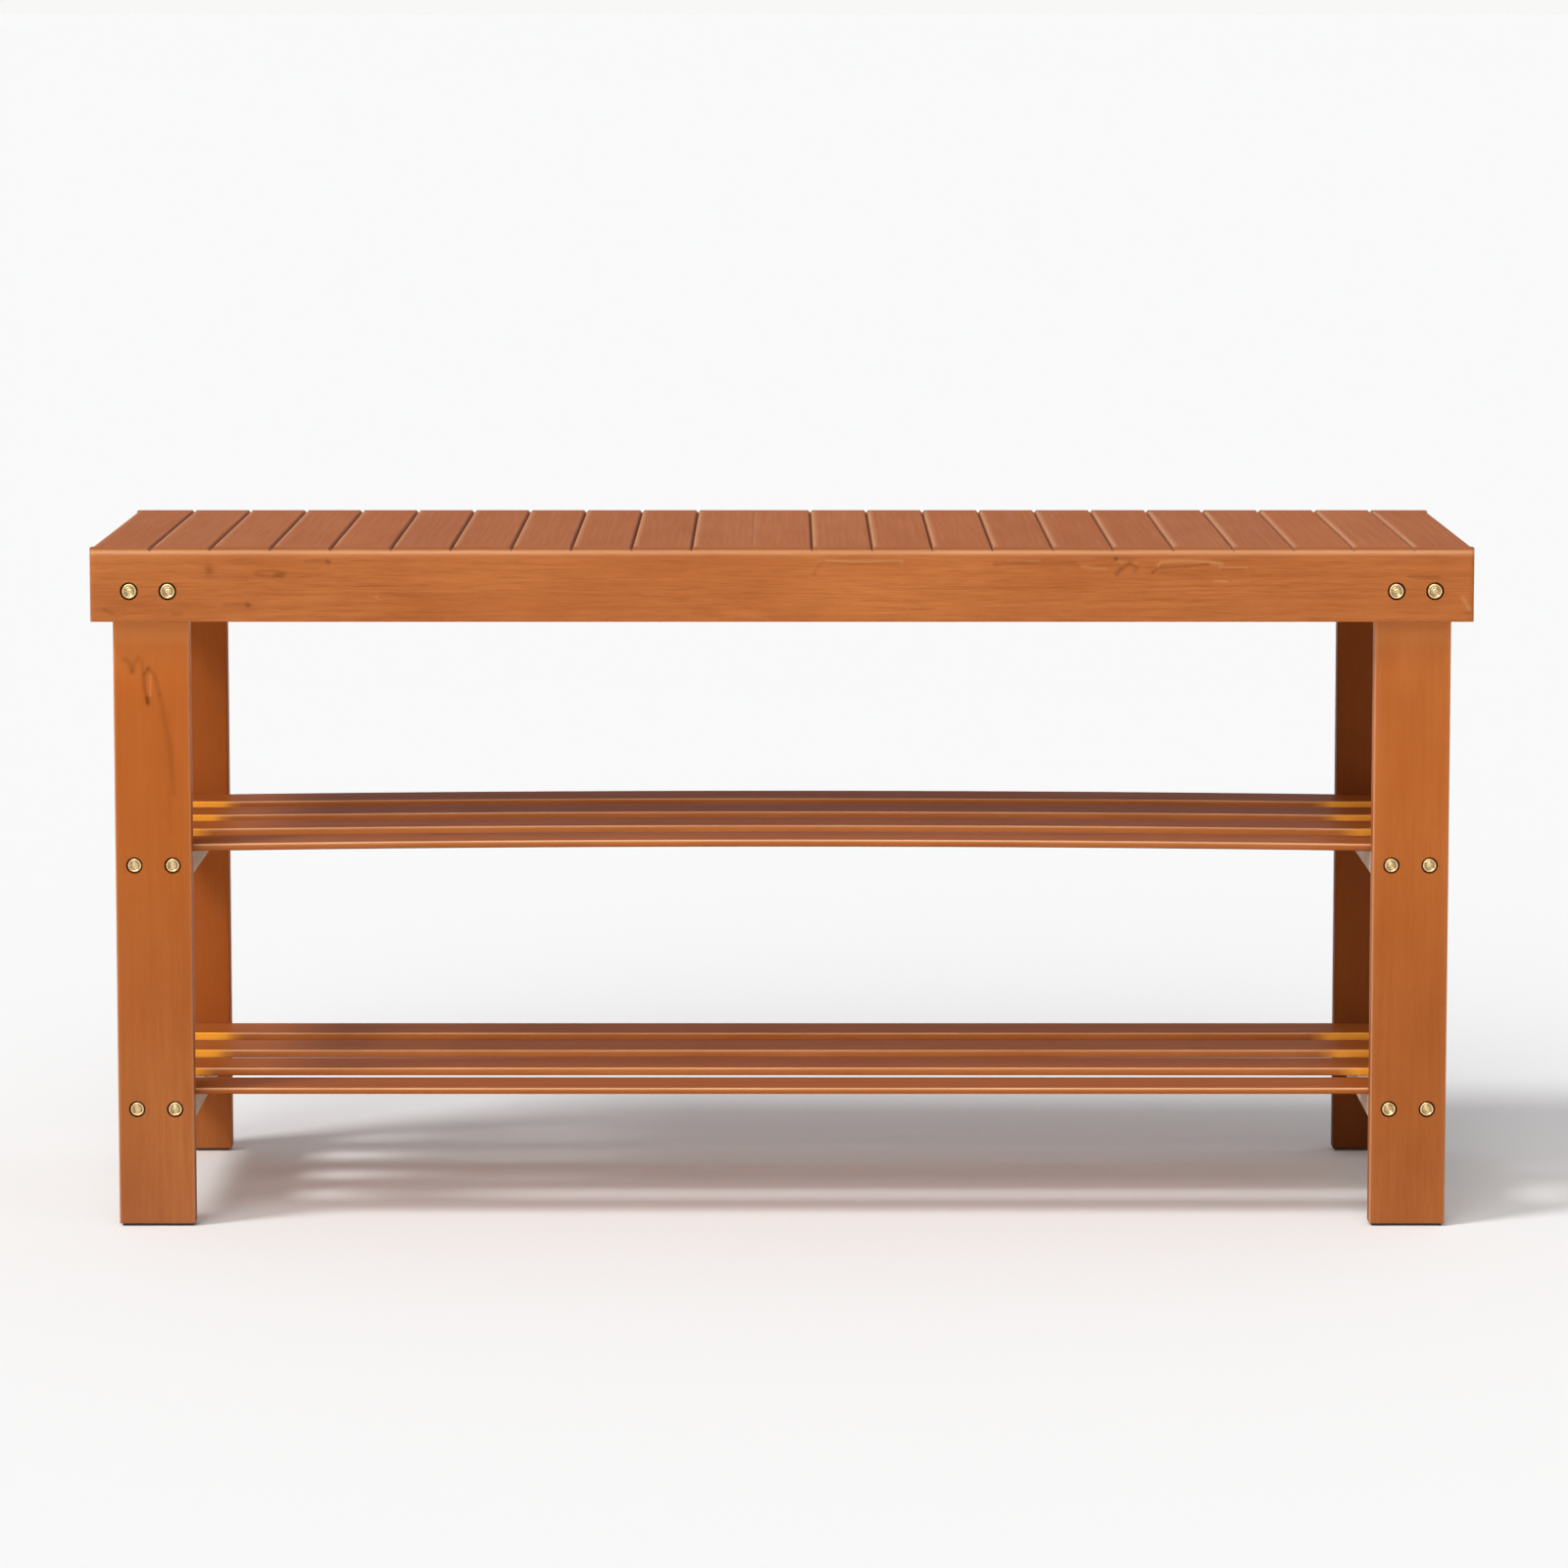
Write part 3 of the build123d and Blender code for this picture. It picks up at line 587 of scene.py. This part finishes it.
def seat_slat(number):
    """One seat slat. Its outline has a V's half at each side, or an eased corner."""
    node = f"seat_slat_{number:02d}"
    low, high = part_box(node)
    shoulder = high.z - GROOVE_DEPTH
    corners = [(low.x, low.z)]
    radii = [SLAT_UNDER]
    if number - 1 in (0, PLAIN_SEAM):
        corners.append((low.x, high.z))
        radii.append(BOARD_CORNER if number == 1 else SEAM_ROUND)
    else:
        corners += [(low.x, shoulder), (low.x + GROOVE_HALF, high.z)]
        radii += [GROOVE_FOOT, GROOVE_LIP]
    if number in (SLAT_COUNT, PLAIN_SEAM):
        corners.append((high.x, high.z))
        radii.append(BOARD_CORNER if number == SLAT_COUNT else SEAM_ROUND)
    else:
        corners += [(high.x - GROOVE_HALF, high.z), (high.x, shoulder)]
        radii += [GROOVE_LIP, GROOVE_FOOT]
    corners.append((high.x, low.z))
    radii.append(SLAT_UNDER)
    outline = rounded_outline(corners, radii, [2.6 * MM] * len(corners), 3)
    rings = []
    for y in stations(low.y, high.y, 5 * MM, 0.3 * MM):
        ring = []
        for x, z in outline:
            dip = 0.06 * MM * (0.5 + 0.5 * noise.noise(Vector((x * 40, y * 12, number * 7.3))))
            ring.append((x, y, z - dip if z > shoulder else z))
        rings.append(ring)
    piece = sweep(f"{node}_planed", rings)
    places = points_of(piece)
    picker = random.Random(500 + number)
    on_top = places[:, 2] > shoulder
    scratches = np.where(on_top, stroke_depth(places[:, (0, 1)], SEAT_SCRATCHES), 0)
    # Painted shade darkens the V grooves, and a painted highlight lies along the left lip of each V.
    down = np.clip((high.z - places[:, 2]) / GROOVE_DEPTH, 0, 1)
    groove_shade = 0.75 * down * (places[:, 2] > shoulder - 1 * MM)
    left_edge = np.hypot(places[:, 0] - low.x - GROOVE_HALF * 0.9, places[:, 2] - high.z)
    finish_wood(
        piece, "Y", 100 + number, tone=picker.uniform(0.08, 0.15), warmth=picker.uniform(0.45, 0.8),
        fibre=0.5, marks=scratches + groove_shade, painted_highlight=0.45 * np.exp(-(left_edge / (0.9 * MM)) ** 2))
    put(piece, node)


for number in range(1, SLAT_COUNT + 1):
    seat_slat(number)


# ---- End boards and legs ----
# Planed hardwood with lightly rounded arrises, stained and lacquered like the rest. Each leg has
# four counterbores in its outer face for the bolts of the shelf rails.
def lift_at(x, rise):
    """How far a bowed slat stands up at a place along the bench. It starts from nothing at the legs."""
    return rise * max(0.0, 1 - (x / LEG_BOX["right", "front"][0].x) ** 2)


def plank(node, along, seed, round_mm, step_mm, end_mm, steps_mm=(3, 3, 3, 3), thickness=None, rise=0.0,
          extra=()):
    """A board in a node's box, or a slat of a given thickness that bows up inside the box."""
    low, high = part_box(node)
    a = "XYZ".index(along)
    u, v = [(1, 2), (2, 0), (0, 1)][a]
    top = low[v] + thickness if thickness else high[v]
    corners = [(low[u], low[v]), (high[u], low[v]), (high[u], top), (low[u], top)]
    outline = rounded_outline(corners, [round_mm * MM] * 4, [step * MM for step in steps_mm], 4)
    middle = (low[u] + high[u]) / 2
    rings = []
    for place in stations(low[a], high[a], step_mm * MM, end_mm * MM, extra):
        inset = end_inset(place, low[a], high[a], end_mm * MM)
        lift = lift_at(place, rise)
        ring = []
        for p, q in outline:
            p = max(low[u] + inset, min(high[u] - inset, p))
            q = max(low[v] + inset, min(top - inset, q))
            wave = 0.12 * MM * (0.5 + 0.5 * noise.noise(Vector((place * 14, p * 50 + seed, q * 50))))
            point = [0, 0, 0]
            point[a] = place
            point[u] = p + wave if p < middle else p - wave
            point[v] = q + lift
            ring.append(tuple(point))
        rings.append(ring)
    return sweep(f"{node}_planed", rings)


for side in ("left", "right"):
    end_board = plank(f"{side}_end_board", "Y", 31, 0.6, 8.0, 0.4)
    finish_wood(end_board, "Y", 31, fibre=0.7)
    put(end_board, f"{side}_end_board")

# The left front leg has a soft dark figure near its top, where the grain turns round a knot.
LEG_MARKS = [
    ([(-429.8, 376.5), (-426.0, 373.5), (-424.4, 367.8)], 3.0, 0.22),
    ([(-424.4, 367.8), (-422.8, 373.0), (-420.6, 377.8), (-418.0, 374.0), (-417.2, 366.0)], 2.4, 0.18),
    ([(-414.0, 370.2), (-416.8, 365.8), (-416.6, 358.0), (-414.6, 347.5)], 2.2, 0.30),
    ([(-414.9, 350.5), (-414.4, 346.8)], 2.8, 0.36),
    ([(-412.6, 366.0), (-412.8, 352.0)], 1.6, -0.14),
    ([(-414.0, 370.2), (-410.2, 366.4), (-406.6, 353.0)], 2.6, 0.20),
    ([(-406.6, 353.0), (-403.4, 334.5), (-400.2, 318.8), (-397.9, 287.4)], 3.6, 0.14),
    ([(-401.5, 290.0), (-400.5, 262.0)], 3.0, 0.07),
    ([(-404.0, 336.0), (-400.0, 300.0)], 12.0, 0.05),
]
LEG_MARKS_GAIN = 1.25
SHELF_BOLT_Z = [sum(c.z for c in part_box(f"{level}_shelf_bolts")) / 2 for level in ("upper", "lower")]
# How the colour changes up each leg: heights (mm), and the tone or warmth at those heights. The tone below 0
# at the tops of the front legs is painted light where the board's shadow falls, and the dark tone of the
# right rear leg is painted shade.
LEG_TONE = {
    ("left", "front"): ((0, 150, 290, 350, 385, 400), (0.18, 0.18, 0.08, 0.05, -0.15, -0.62)),
    ("right", "front"): ((0, 150, 290, 350, 385, 400), (0.22, 0.23, 0.05, 0.03, -0.09, -0.46)),
    ("left", "rear"): ((0, 90, 380, 440), (0.10, 0.07, 0.05, 0.25)),
    ("right", "rear"): ((0, 90, 380, 440), (0.80, 0.54, 0.52, 0.90)),
}
LEG_WARMTH = {
    ("left", "front"): ((0, 60, 150, 260, 370, 440), (-0.35, -0.05, 0.40, 0.75, 0.85, 1.1)),
    ("right", "front"): ((0, 80, 200, 300, 440), (0.0, 0.35, 0.60, 0.60, 0.35)),
    ("left", "rear"): ((0, 100, 440), (0.1, 0.75, 0.75)),
    ("right", "rear"): ((0, 100, 440), (0.5, 0.7, 0.7)),
}


def leg(side, face, seed):
    """One leg, darker or warmer along its height, with painted light and painted shade in its tone and, on a
    front leg, painted highlights on its arrises.
    """
    low, high = LEG_BOX[side, face]
    marked = (side, face) == ("left", "front")
    # Rings and points are closer where the dark figure is.
    extra = list(np.arange(255, 385, 1.2) * MM) if marked else []
    steps = (1.2 if marked else 4, 3, 5, 3)
    piece = plank(f"{face}_{side}_leg", "Z", seed, 1.4, 5.0, 1.0, steps, extra=extra)
    outer = low.y if face == "front" else high.y
    holes = [(x, outer, z) for x in BOLT_X if x * low.x > 0 for z in SHELF_BOLT_Z]
    drill(piece, holes, LEG_COUNTERBORE, COUNTERBORE_DEPTH)
    places = points_of(piece)
    # Painted shade inside the counterbores.
    spots = COUNTERBORE_SHADE * near_bolts(places, SHELF_BOLT_Z, outer)
    if marked:
        spots = spots + LEG_MARKS_GAIN * stroke_depth(places[:, (0, 2)], LEG_MARKS)
    edges = [np.hypot(places[:, 0] - x, places[:, 1] - outer) for x in (low.x, high.x)]
    left_arris, right_arris = [np.exp(-(edge / (0.9 * MM)) ** 2) for edge in edges]
    # Painted highlights along the two arrises of the front face.
    edge_highlight = 0.55 * left_arris + 0.40 * right_arris
    height = places[:, 2] / MM
    finish_wood(
        piece, "Z", seed, tone=np.interp(height, *LEG_TONE[side, face]),
        warmth=np.interp(height, *LEG_WARMTH[side, face]), fibre=0.55, marks=spots,
        painted_highlight=edge_highlight if face == "front" else 0.0)
    put(piece, f"{face}_{side}_leg")


for seed, (side, face) in enumerate(LEG_BOX, 41):
    leg(side, face, seed)


# ---- Shelf slats ----
# Thin slats along the bench on the side rails. All but the lower front one have bowed up in use.
# Over the rails their front edges carry a painted amber glow.
SLAT_SEED = {"lower": 60, "upper": 70}
# For each slat from the front: its thickness and how far its bow falls short of the room over it
# (mm), its tone and warmth, and where its painted amber glow starts (mm from the bench's middle, and
# further from it at the left).
SLAT_LOOK = {
    ("upper", 1): (4.8, 0.3, 0.13, 0.20, 400), ("upper", 2): (5.5, 0.0, -0.08, 0.30, 371),
    ("upper", 3): (5.5, 0.0, 0.08, 0.30, 366), ("upper", 4): (5.5, 0.0, 0.14, 0.45, 366),
    ("lower", 1): (4.2, 1.3, 0.17, 0.65, 400), ("lower", 2): (5.3, 0.0, 0.02, 0.45, 371),
    ("lower", 3): (5.5, 0.0, -0.04, 0.25, 366), ("lower", 4): (5.5, 0.0, 0.0, 0.30, 366),
}
GLOW_FURTHER_LEFT = 9


def shelf_slat(level, number):
    """One shelf slat, bowed within its box, with painted highlights and painted shade along its edges and a
    painted amber glow near its ends.
    """
    node = f"{level}_shelf_slat_{number}"
    low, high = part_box(node)
    thick, short, tone, warmth, glow_from = SLAT_LOOK[level, number]
    thickness = thick * MM
    rise = high.z - low.z - thickness - short * MM
    seed = SLAT_SEED[level] + number
    piece = plank(node, "X", seed, 1.2, 7.0, 0.8, (4, 1.2, 1.6, 1.2), thickness, rise)
    places = points_of(piece)
    above = places[:, 2] - np.array([lift_at(x, rise) for x in places[:, 0]]) - low.z
    behind_edge = places[:, 1] - low.y
    # Painted shade: a band behind the front edge, a line under the front edge and one along the back edge.
    shade = 0.13 * np.exp(-((behind_edge - 3.4 * MM) / (2.2 * MM)) ** 2) * (above > thickness / 2)
    under_shade = 0.45 * np.exp(-(np.hypot(behind_edge, above) / (0.9 * MM)) ** 2)
    back_shade = 0.35 * np.exp(-(np.hypot(places[:, 1] - high.y, above - thickness) / (1.2 * MM)) ** 2)
    # The tops are painted darker and warmer, as painted shade against the grey sheen they show at a low
    # angle.
    on_top = above > thickness - 0.5 * MM
    # Painted highlight along the front top edge.
    edge_highlight = 1.1 * np.exp(-(np.hypot(behind_edge, above - thickness + 0.2 * MM) / (0.75 * MM)) ** 2)
    # Painted glow: it rises over 14 mm, on the front edge only, and is paler at the right.
    at_left = places[:, 0] < 0
    starts = np.where(at_left, glow_from + GLOW_FURTHER_LEFT, glow_from) * MM
    over_rail = np.clip((np.abs(places[:, 0]) - starts) / (14 * MM), 0, 1) ** 1.5
    glow_mask = over_rail * (places[:, 1] < low.y + 0.9 * MM) * np.where(at_left, 1.0, 0.72)
    finish_wood(
        piece, "X", seed, tone=tone + 0.10 * on_top, warmth=warmth + 0.35 * on_top, fibre=0.6,
        marks=shade + under_shade + back_shade, painted_highlight=edge_highlight, painted_glow=glow_mask)
    put(piece, node)


for level in ("upper", "lower"):
    for number in range(1, 5):
        shelf_slat(level, number)


# ---- Bolts ----
# Turned brass hexagon-socket bolts that pull the boards, legs and rails together. Each head sits in
# its counterbore, and has a raised rim, a groove inside it and a worn socket.
def brass():
    """Pale yellow brass, turned and lightly tarnished: bright on the rim, dull brown in the hollows."""
    material, tree = new_material("turned_brass")
    place = add(tree, "ShaderNodeTexCoord").outputs["Object"]
    recess = add(tree, "ShaderNodeAttribute", attribute_name="recess").outputs["Fac"]
    cloud = add(tree, "ShaderNodeTexNoise", {"Vector": place, "Scale": 420.0, "Detail": 3.0})
    tarnish = add(tree, "ShaderNodeMath", {
        0: cloud, 1: 2.4, 2: -0.8}, operation="MULTIPLY_ADD", use_clamp=True)
    dirt = add(tree, "ShaderNodeMath", {0: recess, 1: 0.85}, operation="MULTIPLY", use_clamp=True)
    colour = add(tree, "ShaderNodeMix", {"Factor": tarnish, "A": "#ffe6b4", "B": "#e8bf7a"}, data_type="RGBA")
    colour = add(tree, "ShaderNodeMix", {"Factor": dirt, "A": colour, "B": "#54340f"}, data_type="RGBA")
    roughness = add(tree, "ShaderNodeMath", {0: cloud, 1: 0.30, 2: 0.14}, operation="MULTIPLY_ADD")
    bump = add(tree, "ShaderNodeBump", {"Height": cloud, "Strength": 0.35, "Distance": 0.2 * MM})
    shader = add(tree, "ShaderNodeBsdfPrincipled", {
        "Base Color": colour, "Metallic": 1.0, "Roughness": roughness, "Normal": bump})
    add(tree, "ShaderNodeOutputMaterial", {"Surface": shader})
    return material


BRASS = brass()
HEAD_SUNK = 0.5 * MM
HEAD_HEIGHT = 3.6 * MM
SHANK = 2.5 * MM
SEAT_BOLT_LENGTH = 19.9 * MM
SHELF_BOLT_LENGTH = 40.9 * MM
SEAT_HEAD_SCALE = 1.07
# The head's section from the rim inwards: radius and depth below the rim's top (mm), and how dull.
HEAD_SECTION = [
    (4.60, 3.6, 1.0), (4.60, 0.75, 0.6), (4.53, 0.42, 0.2), (4.30, 0.16, 0.0), (3.98, 0.02, 0.0),
    (3.70, 0.00, 0.0), (3.42, 0.05, 0.1), (3.22, 0.38, 0.7), (2.98, 0.52, 1.0), (2.74, 0.40, 0.6),
    (2.56, 0.18, 0.1), (2.38, 0.14, 0.1), (2.24, 0.30, 0.5), (2.14, 1.10, 0.9), (1.90, 1.35, 0.5),
    (1.30, 1.10, 0.1), (0.60, 0.92, 0.2),
]
# Inside the socket's radius (mm) the section follows a hexagon. Wear (mm) tilts the head's inner part.
SOCKET_RADIUS = 2.6
HEXAGON_FLAT = 0.94
WORN_WITHIN = 4.0
WEAR = 0.07
POINTS_ROUND = 48


def bolt(vertices, faces, recess, centre, outward, length, scale, spin):
    """One bolt along Y: its shank and its head as rings, dished a little out of true by wear."""
    start = len(vertices)
    section = [(SHANK / MM, HEAD_HEIGHT / MM + length / MM, 1.0), (SHANK / MM, HEAD_HEIGHT / MM, 1.0)]
    section += HEAD_SECTION
    for radius, depth, dull in section:
        in_socket = radius < SOCKET_RADIUS and depth < HEAD_HEIGHT / MM
        for k in range(POINTS_ROUND):
            angle = 2 * math.pi * k / POINTS_ROUND
            reach = radius * scale
            if in_socket:
                turn = (angle + spin) % (math.pi / 3) - math.pi / 6
                reach = radius * scale * (HEXAGON_FLAT / math.cos(turn))
            sag = WEAR * math.sin(2 * angle + spin * 3) if radius < WORN_WITHIN else 0.0
            y = centre[1] - outward * (HEAD_SUNK + (depth + WEAR + sag) * MM)
            vertices.append((
                centre[0] + reach * MM * math.cos(angle), y, centre[2] + reach * MM * math.sin(angle)))
            recess.append(dull)
    last = start + (len(section) - 1) * POINTS_ROUND
    for ring in range(start, last, POINTS_ROUND):
        for k in range(POINTS_ROUND):
            after = (k + 1) % POINTS_ROUND
            faces.append((ring + k, ring + after, ring + POINTS_ROUND + after, ring + POINTS_ROUND + k))
    faces.append(tuple(range(start, start + POINTS_ROUND)))
    faces.append(tuple(range(last, last + POINTS_ROUND)))


def bolts(node, z, outer, length, scale):
    """All the bolts of one group, front and rear, as one piece."""
    picker = random.Random(node)
    vertices = []
    faces = []
    recess = []
    for x in BOLT_X:
        for outward in (-1, 1):
            spin = picker.uniform(0, 6)
            bolt(vertices, faces, recess, (x, outward * outer, z), outward, length, scale, spin)
    mesh = bpy.data.meshes.new(node)
    mesh.from_pydata(vertices, [], faces)
    face_outwards(mesh)
    store(mesh, "recess", recess)
    mesh.materials.append(BRASS)
    put(link_object(f"{node}_turned", mesh), node)


bolts("seat_bolts", SEAT_BOLT_Z, -front[0].y, SEAT_BOLT_LENGTH, SEAT_HEAD_SCALE)
for level, z in zip(("upper", "lower"), SHELF_BOLT_Z):
    bolts(f"{level}_shelf_bolts", z, -LEG_BOX["left", "front"][0].y, SHELF_BOLT_LENGTH, 1.0)


# ---- Rails and ledgers ----
# Bare sawn wood. Beech rails carry the shelves between front and rear legs, and pine ledgers carry
# the seat slats between the legs. They are pale, because they were never stained.
def bare_wood(name, quarter_turn, pale, dark):
    """Greyish-beige unfinished wood with faint long streaks and a dry, rough surface."""
    material, tree = new_material(name)
    place = add(tree, "ShaderNodeTexCoord").outputs["Object"]
    grain = add(tree, "ShaderNodeMapping", {
        "Vector": place, "Rotation": (0, 0, quarter_turn), "Scale": (1 / MM, 1 / MM, 1 / MM)})
    shown = {}
    for pattern, along, across, detail, roughness in (
            ("fibres", 30, 0.9, 3.0, 0.6), ("bands", 140, 6, 2.0, 0.5)):
        scaled = add(tree, "ShaderNodeVectorMath", {
            0: grain, 1: (1 / along, 1 / across, 1 / across)}, operation="MULTIPLY")
        shown[pattern] = add(tree, "ShaderNodeTexNoise", {
            "Vector": scaled, "Scale": 1.0, "Detail": detail, "Roughness": roughness})
    colour = pale
    for pattern, gain, level, other in (("bands", 1.8, -0.5, dark), ("fibres", 1.6, -0.78, "#8d7355")):
        share = add(tree, "ShaderNodeMath", {
            0: shown[pattern], 1: gain, 2: level}, operation="MULTIPLY_ADD", use_clamp=True)
        colour = add(tree, "ShaderNodeMix", {"Factor": share, "A": colour, "B": other}, data_type="RGBA")
    bump = add(tree, "ShaderNodeBump", {"Height": shown["fibres"], "Strength": 0.4, "Distance": 0.2 * MM})
    shader = add(tree, "ShaderNodeBsdfPrincipled", {
        "Base Color": colour, "Roughness": 0.72, "Specular IOR Level": 0.15, "Normal": bump})
    add(tree, "ShaderNodeOutputMaterial", {"Surface": shader})
    return material


def dress(name, material):
    """Gives a node of the frame its material."""
    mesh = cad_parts[name].data
    mesh.materials.clear()
    mesh.materials.append(material)


RAIL_WOOD = bare_wood("bare_beech_rails", -math.pi / 2, "#cdb8a0", "#b09a84")
LEDGER_WOOD = bare_wood("bare_pine_ledgers", 0.0, "#d2b88f", "#b8996c")
for level in ("upper", "lower"):
    for side in ("left", "right"):
        dress(f"{level}_{side}_rail", RAIL_WOOD)
for face in ("front", "rear"):
    dress(f"{face}_ledger", LEDGER_WOOD)


# ---- Hidden fixings and feet ----
# Fluted beech dowels, zinc-plated screws and barrel nuts, brass inserts, and dark plastic glides
# nailed under the legs.
def dowel_wood():
    """Pale, even beech with a fine short fleck."""
    material, tree = new_material("beech_dowel")
    place = add(tree, "ShaderNodeTexCoord").outputs["Object"]
    fleck = add(tree, "ShaderNodeTexNoise", {"Vector": place, "Scale": 700.0, "Detail": 2.0})
    colour = add(tree, "ShaderNodeMix", {"Factor": fleck, "A": "#dfc298", "B": "#c7a374"}, data_type="RGBA")
    shader = add(tree, "ShaderNodeBsdfPrincipled", {"Base Color": colour, "Roughness": 0.7})
    add(tree, "ShaderNodeOutputMaterial", {"Surface": shader})
    return material


def zinc():
    """Bright zinc plating, bluish grey with a cloudy passivated film."""
    material, tree = new_material("zinc_plated_steel")
    place = add(tree, "ShaderNodeTexCoord").outputs["Object"]
    film = add(tree, "ShaderNodeTexNoise", {"Vector": place, "Scale": 260.0, "Detail": 3.0})
    colour = add(tree, "ShaderNodeMix", {"Factor": film, "A": "#c9ccd0", "B": "#a3a6a6"}, data_type="RGBA")
    roughness = add(tree, "ShaderNodeMath", {0: film, 1: 0.3, 2: 0.22}, operation="MULTIPLY_ADD")
    shader = add(tree, "ShaderNodeBsdfPrincipled", {
        "Base Color": colour, "Metallic": 1.0, "Roughness": roughness})
    add(tree, "ShaderNodeOutputMaterial", {"Surface": shader})
    return material


def pad_plastic():
    """Dark brown moulded plastic, with scuffs."""
    material, tree = new_material("moulded_plastic_glide")
    place = add(tree, "ShaderNodeTexCoord").outputs["Object"]
    scuff = add(tree, "ShaderNodeTexNoise", {"Vector": place, "Scale": 300.0, "Detail": 3.0})
    colour = add(tree, "ShaderNodeMix", {"Factor": scuff, "A": "#2b1a12", "B": "#4a3327"}, data_type="RGBA")
    roughness = add(tree, "ShaderNodeMath", {0: scuff, 1: 0.3, 2: 0.42}, operation="MULTIPLY_ADD")
    shader = add(tree, "ShaderNodeBsdfPrincipled", {"Base Color": colour, "Roughness": roughness})
    add(tree, "ShaderNodeOutputMaterial", {"Surface": shader})
    return material


DOWEL = dowel_wood()
ZINC = zinc()
for name in ("frame_dowels", "slat_dowels"):
    dress(name, DOWEL)
for name in ("upper_barrel_nuts", "lower_barrel_nuts", "upper_slat_screws", "lower_slat_screws",
             "seat_slat_screws", "ledger_screws"):
    dress(name, ZINC)
dress("leg_inserts", BRASS)
dress("foot_pads", pad_plastic())
